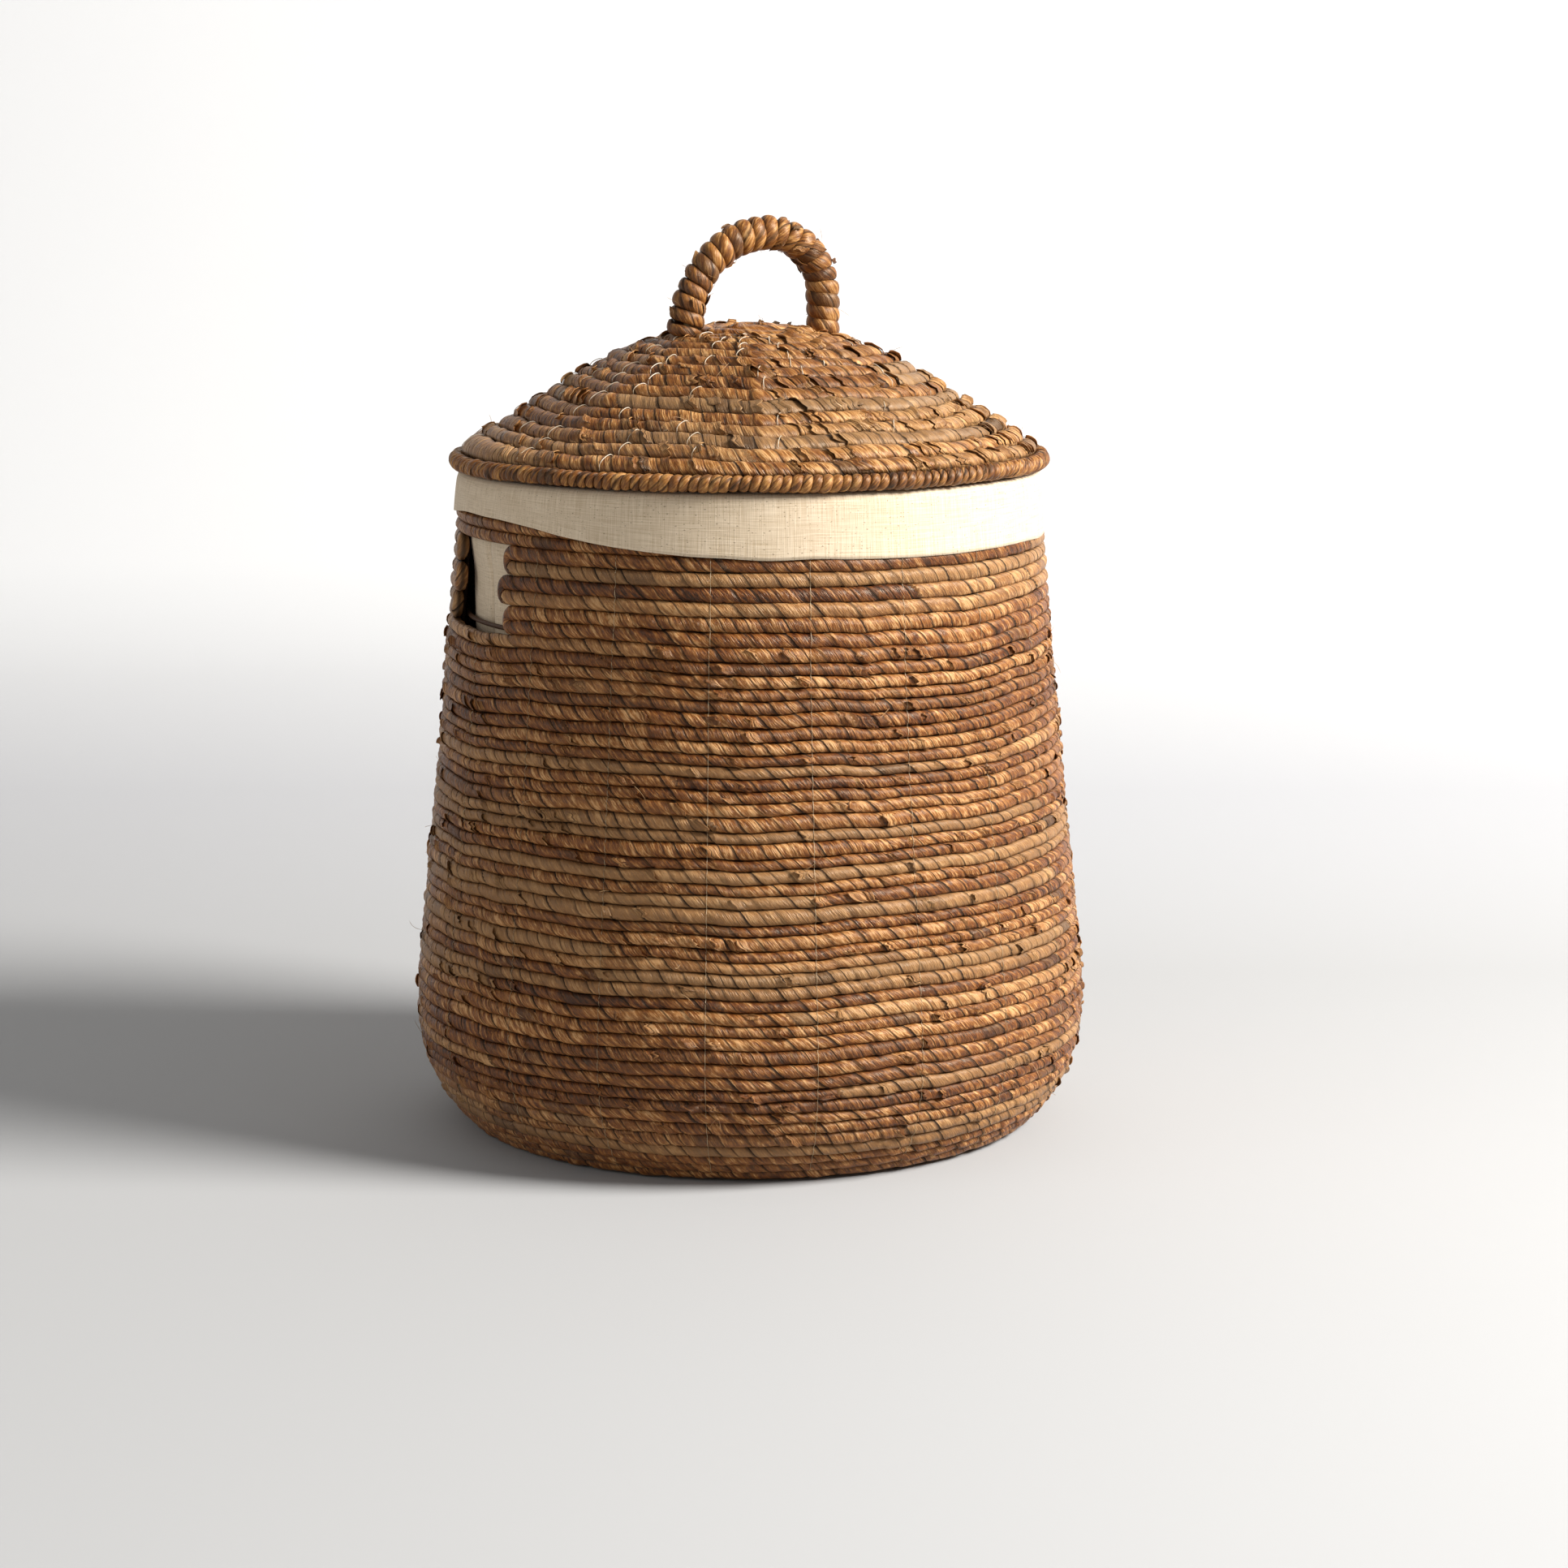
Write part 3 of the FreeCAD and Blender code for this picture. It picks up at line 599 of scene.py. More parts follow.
def wall_at(distance, angle):
    """Points on the rope's line and their outward directions, from distance and angle."""
    radius = np.interp(distance, fine_d, fine_r)
    height = np.interp(distance, fine_d, fine_z)
    out_r = np.interp(distance, fine_d, lean_r)
    out_z = np.interp(distance, fine_d, lean_z)
    cos = np.cos(angle)
    sin = np.sin(angle)
    centre = np.stack([radius * cos, radius * sin, height], axis=-1)
    out = unit(np.stack([out_r * cos, out_r * sin, out_z], axis=-1))
    return centre, out


def distance_at_height(height):
    """Distance along the wall line where the rope's centre is at a height."""
    wall = fine_d >= base_length
    return float(np.interp(height, fine_z[wall], fine_d[wall]))


wall_end = distance_at_height(sill_high) - ROPE_HALF
print("wall line", round(line_d[-1], 3), "m, wall starts at", round(base_length, 3))

# %% [markdown]
# ## The rows of the wall
# Each row lies on the row below, so a thick length of rope pushes up every row above it. The
# rows are stacked column by column: half the thickness below plus half the thickness above.
# A gentle pull towards an even spiral keeps the last row level with the CAD sill. The rope thins
# out over its last 110 mm, so that the spiral ends without a step.

# %% Stack the wall's rows
PER_TURN = 700
START_ANGLE = math.radians(100)
WALL_RADIUS = 0.222
TAIL = 60
TURNS = round((wall_end - base_length) / (2 * ROPE_HALF))
PITCH = (wall_end - base_length) / TURNS


def stack_rows(thick, ideal, per_turn, pull):
    """Lays each row on the row below, and pulls it a little towards the ideal spiral."""
    rise_of = ideal.copy()
    for first in range(per_turn, len(ideal), per_turn):
        last = min(first + per_turn, len(ideal))
        here = slice(first, last)
        below = slice(first - per_turn, last - per_turn)
        stacked = rise_of[below] + (thick[below] + thick[here]) / 2
        rise_of[here] = stacked + pull * (ideal[here] - stacked)
    return rise_of


samples = TURNS * PER_TURN + 1
turn_of = np.arange(samples) / PER_TURN
angle_of = START_ANGLE + 2 * math.pi * turn_of
even_s = turn_of * 2 * math.pi * WALL_RADIUS / MM
wall_lengths = bark_lengths(even_s[-1] + 2000, seed=7, thick_spread=0.18)
thick = along_lengths(wall_lengths, "thick", even_s, 70)
thick = thick * (1 + 0.07 * waver(even_s / 60, 11) + 0.04 * waver(even_s / 21, 12))
thick = PITCH * (1 + (thick - 1) * np.clip(turn_of / 3, 0, 1))
thick[-TAIL:] *= np.linspace(1, 0.14, TAIL)
rise_of = stack_rows(thick, base_length + turn_of * PITCH, PER_TURN, 0.07)
wall_centre, wall_out = wall_at(rise_of, angle_of)
wall_s = distances(wall_centre)
wall_winding = winding_along(wall_lengths, wall_centre)
print("wall turns", TURNS, "pitch", round(PITCH / MM, 2), "mm, rope", round(wall_s[-1] * MM, 1), "m")

# %% Threads pull the rows in
THREAD_COUNT = 20
THREAD_PHASE = math.radians(4)
THREAD_BITE = 0.09
BITE_HALF_WIDTH = 2.6 * MM


def thread_pinch(angle, radius):
    """How much thinner a row is where a thread crosses it."""
    off = wrapped(angle - THREAD_PHASE, 2 * math.pi / THREAD_COUNT)
    return 1 - THREAD_BITE * np.exp(-(off * radius / BITE_HALF_WIDTH) ** 2)

# %% Make the wall's ropes
ROW_OVERLAP = 1.035
MOST_TURNS = 7
pinch = thread_pinch(angle_of, np.hypot(wall_centre[:, 0], wall_centre[:, 1]))
wall_half_up = thick / 2 * ROW_OVERLAP * np.sqrt(pinch)
wall_half_out = (ROPE_HALF * (1 + 0.5 * (thick / PITCH - 1)) + 0.1 * MM) * pinch
wall_half_out[-TAIL:] *= np.linspace(1, 0.35, TAIL)


def turn_at_height(height):
    """The number of whole turns of the wall's rope below a height."""
    return int(round((distance_at_height(height) - base_length) / PITCH))


BAND_TOPS = {
    "foot": turn_at_height(belly_low),
    "belly": turn_at_height(belly_high),
    "lower_wall": turn_at_height(shoulder_high),
    "upper_wall": TURNS,
}
band_low = 0
for band, band_high in BAND_TOPS.items():
    count = math.ceil((band_high - band_low) / MOST_TURNS)
    cuts = [band_low + (band_high - band_low) * k // count for k in range(count + 1)]
    for number, (low, high) in enumerate(zip(cuts, cuts[1:])):
        part = slice(low * PER_TURN, high * PER_TURN + 1)
        piece = rope_piece(
            f"{band}_rope_{number + 1}", wall_centre[part], wall_out[part],
            wall_half_out[part], wall_half_up[part], wall_lengths,
            seed=100 + low, start=wall_s[part][0], winding=wall_winding[part])
        finish_piece(piece, "basket", wall_bark, [f"{band}_coil"])
        print(piece.name, "turns", low, "to", high, len(piece.data.polygons), "faces")
    band_low = band_high

# %% [markdown]
# ## The base
# The same rope, wound flat from the middle of the base to where the wall begins. It is seen only
# from below, so it has fewer points to the turn.

# %% Base spiral
BASE_PER_TURN = 260
base_turns = base_length / (2 * ROPE_HALF)
base_turn_of = np.arange(0, base_turns, 1 / BASE_PER_TURN)
base_distance = base_length * base_turn_of / base_turn_of[-1]
base_angle = START_ANGLE - 2 * math.pi * (base_turn_of[-1] - base_turn_of)
base_centre, base_out = wall_at(base_distance, base_angle)
base_lengths = bark_lengths(20000, seed=8, thick_spread=0)
even = np.full(len(base_centre), ROPE_HALF)
piece = rope_piece("base_rope", base_centre, base_out, even, even * 1.02, base_lengths,
                   seed=120, around=12, step=0.4, lumps=0.025)
finish_piece(piece, "basket", wall_bark, ["base_coil"])
print("base turns", round(base_turns, 1))

# %% [markdown]
# ## Hairpin rows beside the hand slots
# Between the two slots the wall is made of six rows, in pairs. Each pair is one rope that runs to
# the slot, turns back and runs home, so its end is a rounded loop. The pairs fill the height
# between the wavy last row below and the level rim rows above. Their ends stand a few mm in or
# out of line, as hand work does.

# %% Hairpin rows
PANELS = {"front": -math.pi / 2, "back": math.pi / 2}
PANEL_ROWS = 6
SLOT_HALF_ANGLE = math.radians(12.8)
END_OFFSETS = {"low": -3.5 * MM, "middle": 5.5 * MM, "high": 0.5 * MM}
PANEL_RADIUS = 0.2105
POINT_STEP = 2.1 * MM
LOOP_RADIUS = 4.35 * MM


def sill_at(angle):
    """Distance along the wall line of the top of the last wall row, at an angle."""
    back = (np.asarray(angle) - START_ANGLE) % (2 * math.pi) / (2 * math.pi)
    index = ((TURNS - 1 + back) * PER_TURN).astype(int)
    return rise_of[index] + thick[index] / 2 * 0.97


lintel = distance_at_height(lintel_high)


def hairpin(name, low_row, first, last, seed, node):
    """Two rows made of one rope that runs between two angles and turns back at both ends."""
    count = int((last - first) * PANEL_RADIUS / POINT_STEP)
    run = np.linspace(first, last, count)
    bend = np.linspace(-math.pi / 2, math.pi / 2, 11)[1:-1]
    ahead = (0.2 + 0.8 * np.cos(bend)) * LOOP_RADIUS / PANEL_RADIUS
    angles = np.concatenate([run, last + ahead, run[::-1], first - ahead])
    share = np.concatenate([np.zeros(count), (1 + np.sin(bend)) / 2,
                            np.ones(count), (1 - np.sin(bend)) / 2])
    sway = waver(np.abs(angles - first) * PANEL_RADIUS / 0.045, seed + 5) * 0.035
    sill = sill_at(angles)
    row_height = (lintel - sill) / PANEL_ROWS
    distance = sill + row_height * (low_row + 0.5 + share + sway * np.sin(share * math.pi + 1))
    centre, out = wall_at(distance, angles)
    s = distances(centre)
    lengths = bark_lengths(s[-1] + 50, seed, shortest=250, longest=900)
    wobble = 1 + 0.05 * waver(s / 45, seed + 1) + 0.03 * waver(s / 15, seed + 2)
    half_up = row_height / 2 * 1.05 * wobble * (1 - 0.1 * np.sin(share * math.pi))
    half_out = ROPE_HALF * 1.02 * wobble * thread_pinch(angles, PANEL_RADIUS)
    piece = rope_piece(name, centre, out, half_out, half_up, lengths, seed=seed + 3, closed=True)
    finish_piece(piece, "basket", wall_bark, [node])


for side, middle in PANELS.items():
    for number, (level, offset) in enumerate(END_OFFSETS.items()):
        reach = math.pi / 2 - SLOT_HALF_ANGLE - ROPE_HALF / PANEL_RADIUS + offset / PANEL_RADIUS
        hairpin(f"{side}_hairpin_rope_{level}", 2 * number, middle - reach, middle + reach,
                200 + 20 * number + (7 if side == "back" else 0), f"{side}_hairpin_{level}")
print("six hairpin ropes")

# %% [markdown]
# ## Rim rows
# Five rings close the wall above the slots. The lowest one is the top edge of each hand slot.
# They are smoother than the wall's rows, because the liner's cuff lies close over them.

# %% Rim rings
RIM_ROWS = 5
rim_pitch = (distance_at_height(rim_high) - lintel) / RIM_ROWS
ring_steps = np.arange(PER_TURN)
ring_angle = np.linspace(0, 2 * math.pi, PER_TURN, endpoint=False) + START_ANGLE
for row in range(RIM_ROWS):
    sway = 0.25 * MM * waver(ring_steps / 35, 300 + row, wrap=20)
    centre, out = wall_at(lintel + rim_pitch * (row + 0.5) + sway, ring_angle)
    wobble = 1 + 0.03 * waver(ring_steps / 25, 310 + row, wrap=28)
    half_out = ROPE_HALF * wobble * thread_pinch(ring_angle, 0.205)
    lengths = bark_lengths(1400, 320 + row, shortest=300, longest=900)
    piece = rope_piece(f"rim_rope_{row + 1}", centre, out, half_out, rim_pitch / 2 * 1.05 * wobble,
                       lengths, seed=330 + row, closed=True, step=0.3, lumps=0.025)
    finish_piece(piece, "basket", wall_bark, ["rim_coil"])
print("rim pitch", round(rim_pitch / MM, 2), "mm")

# %% [markdown]
# ## The lid
# The lid is a second coil. Its rope is thicker and flatter, because the bark is less tightly
# wound, and its edges are rough. Eight wire ribs hold it up from below, so the rows run almost
# straight from rib to rib and a soft ridge shows over each rib. The rows are stacked as on the
# wall, along a line that starts at the top of the dome. The last turn thins out against the edge,
# so that the lid ends in a true circle.

# %% Lid outline
LID_HALF = 5.4 * MM
DOME_RADIUS = 242.6 * MM
LID_EDGE_HEIGHT = 481.1 * MM
RIB_ANGLE = math.radians(22.5)
RIDGE = 0.8

dome_top = top_of("lid_centre_coil")
shoulder_reach = reach_of("lid_middle_coil")
lid_reach = reach_of("lid_edge_coil")
cap_r = np.linspace(0, shoulder_reach, 80)
cap_z = dome_top - DOME_RADIUS + np.sqrt(DOME_RADIUS ** 2 - cap_r ** 2)
dome_r = np.append(cap_r, lid_reach)
dome_z = np.append(cap_z, LID_EDGE_HEIGHT)
lid_d = np.concatenate([[0], np.cumsum(np.hypot(np.diff(dome_r), np.diff(dome_z)))])
lid_fine = np.linspace(0, lid_d[-1], 800)
lid_r = np.interp(lid_fine, lid_d, dome_r)
lid_z = np.interp(lid_fine, lid_d, dome_z)
face_r = soften(-np.gradient(lid_z, lid_fine))
face_z = soften(np.gradient(lid_r, lid_fine))


def lid_at(distance, angle, depth):
    """Points under the lid's outline and their outward directions; ridges lie over the ribs."""
    radius = np.interp(distance, lid_fine, lid_r)
    height = np.interp(distance, lid_fine, lid_z)
    out_r = np.interp(distance, lid_fine, face_r)
    out_z = np.interp(distance, lid_fine, face_z)
    straight = math.cos(RIB_ANGLE) / np.cos(wrapped(angle, 2 * RIB_ANGLE))
    middle = np.sin(np.clip(radius / lid_reach, 0, 1) * math.pi) ** 0.8
    radius = radius * (1 - RIDGE * middle * (1 - straight)) - out_r * depth
    height = height - out_z * depth
    cos = np.cos(angle)
    sin = np.sin(angle)
    centre = np.stack([radius * cos, radius * sin, height], axis=-1)
    return centre, unit(np.stack([out_r * cos, out_r * sin, out_z], axis=-1))


print("lid line", round(lid_d[-1], 3), "m")

# %% Stack the lid's rows
LID_PER_TURN = 560
LID_PITCH_WANTED = 13.0 * MM
LID_START = 6 * MM
lid_turns = round((lid_d[-1] - LID_START) / LID_PITCH_WANTED)
lid_pitch = (lid_d[-1] - LID_START) / lid_turns
lid_samples = lid_turns * LID_PER_TURN + 1
lid_turn_of = np.arange(lid_samples) / LID_PER_TURN
lid_ideal = LID_START + lid_turn_of * lid_pitch
even_step = np.interp(lid_ideal, lid_fine, lid_r)[:-1] * 2 * math.pi / LID_PER_TURN
even_s = np.concatenate([[0], np.cumsum(even_step)]) / MM
lid_lengths = bark_lengths(even_s[-1] + 2000, seed=40, shortest=120, longest=700,
                           thick_spread=0.15)
lid_thick = along_lengths(lid_lengths, "thick", even_s, 45)
lid_thick = lid_thick * (1 + 0.09 * waver(even_s / 48, 41) + 0.05 * waver(even_s / 17, 42))
lid_thick = lid_pitch * (1 + (lid_thick - 1) * np.clip(lid_turn_of / 2, 0.2, 1))
lid_rise = stack_rows(lid_thick, lid_ideal, LID_PER_TURN, 0.16)
last_turn = slice(lid_samples - LID_PER_TURN, lid_samples)
turn_below = slice(lid_samples - 2 * LID_PER_TURN, lid_samples - LID_PER_TURN)
lower_edge = lid_rise[turn_below] + lid_thick[turn_below] / 2
upper_edge = np.maximum(lid_d[-1] + 0.5 * MM, lower_edge + 1.5 * MM)
lid_rise[last_turn] = (lower_edge + upper_edge) / 2
lid_thick[last_turn] = upper_edge - lower_edge
depth = LID_HALF + 0.6 * MM + 0.7 * MM * waver(even_s / 33, 43)
lid_centre, lid_out = lid_at(lid_rise, START_ANGLE + 2 * math.pi * lid_turn_of, depth)
lid_s = distances(lid_centre)
lid_winding = winding_along(lid_lengths, lid_centre)
print("lid turns", lid_turns, "pitch", round(lid_pitch / MM, 1), "mm, rope", round(lid_s[-1] * MM, 1), "m")

# %% Make the lid's ropes
lid_bark = banana_bark(
    "loose_banana_bark", ("#281106", "#552B0E", "#79471C", "#9B6731", "#CC9C65"),
    "#8A6E4C", "#2A170E", 1.0, 1.5 * MM)
fade = np.clip((lid_turn_of[-1] - lid_turn_of) * LID_PER_TURN / 24, 0.12, 1) ** 0.6
lid_half_up = lid_thick / 2 * 1.05 * fade
lid_half_out = (LID_HALF * (1 + 0.5 * (lid_thick / lid_pitch - 1))
                * (1 + 0.06 * waver(lid_s / 26, 44)) * fade)


def lid_turn_at(reach):
    """The number of whole turns of the lid's rope inside a radius."""
    return round((np.interp(reach, lid_r, lid_fine) - LID_START) / lid_pitch)


LID_BAND_ENDS = {
    "centre": lid_turn_at(reach_of("lid_centre_coil")),
    "middle": lid_turn_at(shoulder_reach),
    "edge": lid_turns,
}
low = 0
for number, (band, high) in enumerate(LID_BAND_ENDS.items()):
    part = slice(low * LID_PER_TURN, high * LID_PER_TURN + 1)
    piece = rope_piece(
        f"lid_{band}_rope", lid_centre[part], lid_out[part], lid_half_out[part],
        lid_half_up[part], lid_lengths, seed=400 + number, start=lid_s[part][0],
        winding=lid_winding[part], step=1.1, lumps=0.1)
    finish_piece(piece, "lid", lid_bark, [f"lid_{band}_coil"])
    print(piece.name, "turns", low, "to", high, len(piece.data.polygons), "faces")
    low = high

# %% [markdown]
# ## The lid's edge cord and the handle
# Both are a core with bark rope wound round it, turn beside turn. The wound rope is the same rope
# mesh again, led along a helix: the centre-line of the core plus a circle that keeps turning.

# %% Wrapping a core
def helix(core, out, turns, per_turn, radius, closed=False, first_turn=0.0):
    """Centre-line and outward directions of a rope wound round a core's centre-line."""
    run = distances(core, closed) * MM
    ends = np.vstack([core, core[:1]]) if closed else core
    outs = np.vstack([out, out[:1]]) if closed else out
    at = np.linspace(0, run[-1], int(turns * per_turn), endpoint=not closed)
    middle = np.stack([np.interp(at, run, ends[:, k]) for k in range(3)], axis=1)
    away = np.stack([np.interp(at, run, outs[:, k]) for k in range(3)], axis=1)
    away, across = rope_frame(middle, away, closed)[1:]
    turn = 2 * math.pi * (first_turn + turns * at / run[-1])
    reach = np.interp(at, np.linspace(0, run[-1], len(radius)), radius)
    arm = away * np.cos(turn)[:, None] + across * np.sin(turn)[:, None]
    return middle + arm * reach[:, None], arm


def ring_out(angles):
    """Unit directions away from the basket's upright axis."""
    return np.stack([np.cos(angles), np.sin(angles), np.zeros(len(angles))], axis=1)

# %% Edge cord
CORD_TURNS = 196
CORD_PER_TURN = 26
CORD_POINTS = 720
WRAP_HALF = 2.7 * MM
wrap_bark = banana_bark(
    "wound_banana_bark", ("#2A1306", "#562C0E", "#78461A", "#98652D", "#C49257"),
    "#7E6344", "#2A170E", 0.8, 1.0 * MM)
cord_low, cord_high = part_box("lid_cord_wrap")
cord_radius = float(cord_high[2] - cord_low[2]) / 2
away = ring_out(np.linspace(0, 2 * math.pi, CORD_POINTS, endpoint=False))
core = (float(cord_high[0]) - cord_radius) * away
core[:, 2] = float(cord_high[2]) - cord_radius + 0.7 * MM * waver(
    np.arange(CORD_POINTS) / 40, 50, wrap=18)
wound_line, arm = helix(core, away, CORD_TURNS, CORD_PER_TURN, [cord_radius - WRAP_HALF] * 2, True)
lengths = bark_lengths(8000, 51, shortest=150, longest=600)
points_wound = len(wound_line)
dice = 1 + 0.16 * waver(np.arange(points_wound) / 30, 52, wrap=points_wound // 30)
piece = rope_piece("lid_edge_cord", wound_line, arm, WRAP_HALF * dice, 3.7 * MM * dice, lengths,
                   seed=53, closed=True, around=10, step=0.5, lumps=0.08)
finish_piece(piece, "lid", wrap_bark, ["lid_cord_wrap"])
print("cord wraps", CORD_TURNS, len(piece.data.polygons), "faces")

# %% [markdown]
# The handle's rod is two upright legs and an arch of two quarter circles, whose crown stands a
# little to the right of the lid's middle. The left leg leans out, and its last wraps stand wider.

# %% Handle
CROWN = 14 * MM
RIGHT_FOOT = 556.5 * MM
LEFT_FOOT = 559.5 * MM
LEFT_LEAN = 4.5 * MM
FLARE = 2.2 * MM
HANDLE_TURNS = 21.8
HANDLE_PER_TURN = 46
core_low, core_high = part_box("handle_core")
core_half = float(core_high[1])
wrap_half = float(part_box("handle_wrap")[1][1])
right_leg = float(core_high[0]) - core_half
left_leg = -float(core_low[0]) - core_half
crown_height = float(cad_box[1][2]) - wrap_half
right_bend = right_leg - CROWN
left_bend = left_leg + CROWN
arc = np.linspace(0, math.pi / 2, 40)
right_up = np.linspace(RIGHT_FOOT, crown_height - right_bend, 14)[:-1]
left_down = np.linspace(crown_height - left_bend, LEFT_FOOT, 14)[1:]
path_x = np.concatenate([np.full(len(right_up), right_leg), CROWN + right_bend * np.cos(arc),
                         CROWN - left_bend * np.sin(arc)[1:], np.full(len(left_down), -left_leg)])
path_z = np.concatenate([right_up, crown_height - right_bend + right_bend * np.sin(arc),
                         crown_height - left_bend + left_bend * np.cos(arc)[1:], left_down])
below_crown = np.clip((crown_height - 20 * MM - path_z) / (45 * MM), 0, 1)
path_x = path_x - LEFT_LEAN * below_crown ** 1.5 * (path_x < 0)
core = np.stack([path_x, np.zeros(len(path_x)), path_z], axis=1)
away = np.tile([0.0, -1.0, 0.0], (len(core), 1))
wrap_radius = np.full(60, wrap_half - 3.2 * MM)
wrap_radius[-8:] += np.linspace(0, FLARE, 8)
handle_line, handle_arm = helix(core, away, HANDLE_TURNS, HANDLE_PER_TURN, wrap_radius,
                                first_turn=0.35)
handle_lengths = bark_lengths(1600, 60, shortest=140, longest=420)
place = np.arange(len(handle_line))
dice = 1 + 0.13 * waver(place / 52, 61) + 0.07 * waver(place / 19, 62)
end_fade = np.clip(np.minimum(place, len(place) - 1 - place) / 12, 0.2, 1) ** 0.5
handle_half_out = 3.3 * MM * dice * end_fade
handle_half_up = 5.15 * MM * dice * end_fade
piece = rope_piece("handle_wrapping", handle_line, handle_arm, handle_half_out,
                   handle_half_up, handle_lengths, seed=63, around=18, step=1.1, lumps=0.12)
finish_piece(piece, "lid", wrap_bark, ["handle_wrap"])
print("handle wraps", HANDLE_TURNS, len(piece.data.polygons), "faces")

# %% [markdown]
# ## Knots under the lid
# The handle's rod ends below the lid. A short rope is tied round each end, so that the handle
# can't pull out. They only show when the lid is lifted.

# %% Knots
KNOT_POINTS = 60
away = ring_out(np.linspace(0, 2 * math.pi, KNOT_POINTS, endpoint=False))
for number, side in enumerate(("left", "right")):
    low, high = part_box(f"{side}_handle_knot")
    knot_half = float(high[2] - low[2]) / 2
    knot_reach = float(high[0] - low[0]) / 2 - knot_half
    middle = [float(low[0] + high[0]) / 2, 0, float(low[2] + high[2]) / 2]
    core = np.array(middle) + knot_reach * away
    wobble = 1 + 0.05 * waver(np.arange(KNOT_POINTS) / 6, 72 + number, 10)
    size = np.full(KNOT_POINTS, knot_half * 0.97) * wobble
    piece = rope_piece(f"{side}_handle_knot_rope", core, away, size, size,
                       bark_lengths(90, 70 + number), seed=74 + number, closed=True)
    finish_piece(piece, "lid", lid_bark, [f"{side}_handle_knot"])
print("two knots")

# %% [markdown]
# ## Sewing threads
# Clear nylon threads tie each row of the wall to the next. They run up the wall in upright lines,
# lie over each row and dip into the groove between two rows. A thread is 0.34 mm thick. Nylon is
# drawn smooth from the melt, so it has a soft shine, and it takes on the colour of the bark below.

# %% Thread material
def mottled_material(name, dark_hex, light_hex, per_metre, roughness, detail=2):
    """A material mottled in two close colours; returns it, its tree, shader and mottling."""
    material, tree, shader = new_material(name)
    spot = add(tree, "ShaderNodeTexCoord")
    mottle = add(tree, "ShaderNodeTexNoise", {"Vector": spot.outputs["Object"]},
                 {"Scale": per_metre, "Detail": detail})
    tint = add(tree, "ShaderNodeValToRGB", {0: mottle.outputs[0]})
    set_ramp(tint, [(0.3, dark_hex), (0.7, light_hex)])
    tree.links.new(tint.outputs[0], shader.inputs["Base Color"])
    shader.inputs["Roughness"].default_value = roughness
    return material, tree, shader, mottle


def nylon_thread(name, dark_hex, light_hex, per_metre):
    """Drawn nylon thread, with a soft shine."""
    material, _, shader, _ = mottled_material(name, dark_hex, light_hex, per_metre, 0.34)
    shader.inputs["IOR"].default_value = 1.53
    return material


clear_nylon = nylon_thread("clear_nylon_thread", "#7C6242", "#B8A280", 90)
white_nylon = nylon_thread("white_nylon_thread", "#AE9A7C", "#DDD0BB", 120)
print("materials", clear_nylon.name, white_nylon.name)

# %% Thread tubes
THREAD_HALF = 0.17 * MM
GUIDE = (0.31, 0.17, 0.94)
OVER_ROW = ((-0.93, 0.66), (-0.5, 0.985), (0, 1.03), (0.5, 0.985), (0.93, 0.66))  # lift, reach


def tubes(name, lines, radius, sides=5):
    """Thin round tubes along several open lines, as one mesh."""
    points = []
    quads = []
    base = 0
    turn = np.linspace(0, 2 * math.pi, sides, endpoint=False)
    for line in lines:
        line = np.asarray(line)
        tangent = unit(np.gradient(line, axis=0))
        side_a = unit(np.cross(tangent, np.tile(GUIDE, (len(line), 1))))
        side_b = np.cross(tangent, side_a)
        ring = (side_a[:, None] * np.cos(turn)[None, :, None]
                + side_b[:, None] * np.sin(turn)[None, :, None])
        taper = np.ones(len(line))
        taper[[0, -1]] = 0.3
        points.append((line[:, None] + ring * (radius * taper)[:, None, None]).reshape(-1, 3))
        i, j = grid_cells(len(line) - 1, sides)
        after = (j + 1) % sides
        quads.append(base + np.stack([i * sides + j, i * sides + after, (i + 1) * sides + after,
                                      (i + 1) * sides + j], axis=1))
        base += len(line) * sides
    return mesh_object(name, np.concatenate(points), np.concatenate(quads))


def over_rows(rows):
    """A line over the row faces and down into the grooves between them."""
    line = []
    for middle, out, up, half_out, half_up in rows:
        for lift, reach in OVER_ROW:
            line.append(middle + up * half_up * lift + out * (half_out * reach + THREAD_HALF))
    return line


def sample_at(angle, per_turn):
    """The sample of a spiral's first turn that lies at an angle."""
    return int(((angle - START_ANGLE) % (2 * math.pi)) / (2 * math.pi) * per_turn)

# %% Threads of the wall
THREAD_ANGLES = THREAD_PHASE + np.arange(THREAD_COUNT) * 2 * math.pi / THREAD_COUNT
wall_up = rope_frame(wall_centre, wall_out, False)[2]
lines = []
for angle in THREAD_ANGLES:
    first = sample_at(angle, PER_TURN) + PER_TURN
    crossed = range(first, samples - PER_TURN // 20, PER_TURN)
    lines.append(over_rows((wall_centre[k], wall_out[k], wall_up[k], wall_half_out[k],
                            wall_half_up[k]) for k in crossed))
piece = tubes("wall_thread", lines, THREAD_HALF)
finish_piece(piece, "basket", clear_nylon, ["wall_stitching"])

for side, middle in PANELS.items():
    lines = []
    for angle in THREAD_ANGLES:
        if abs(wrapped(angle - middle)) > math.pi / 2 - SLOT_HALF_ANGLE - 0.03:
            continue
        sill = float(sill_at(angle))
        row_height = (lintel - sill) / PANEL_ROWS
        rows = []
        for row in range(PANEL_ROWS):
            row_centre, row_out = wall_at(sill + row_height * (row + 0.5), angle)
            row_up = np.cross(row_out, [-math.sin(angle), math.cos(angle), 0])
            rows.append((row_centre, row_out, row_up, ROPE_HALF * 0.95, row_height / 2))
        lines.append(over_rows(rows))
    piece = tubes(f"{side}_panel_thread", lines, THREAD_HALF)
    finish_piece(piece, "basket", clear_nylon, [f"{side}_panel_stitching"])
print("thread lines", THREAD_COUNT)

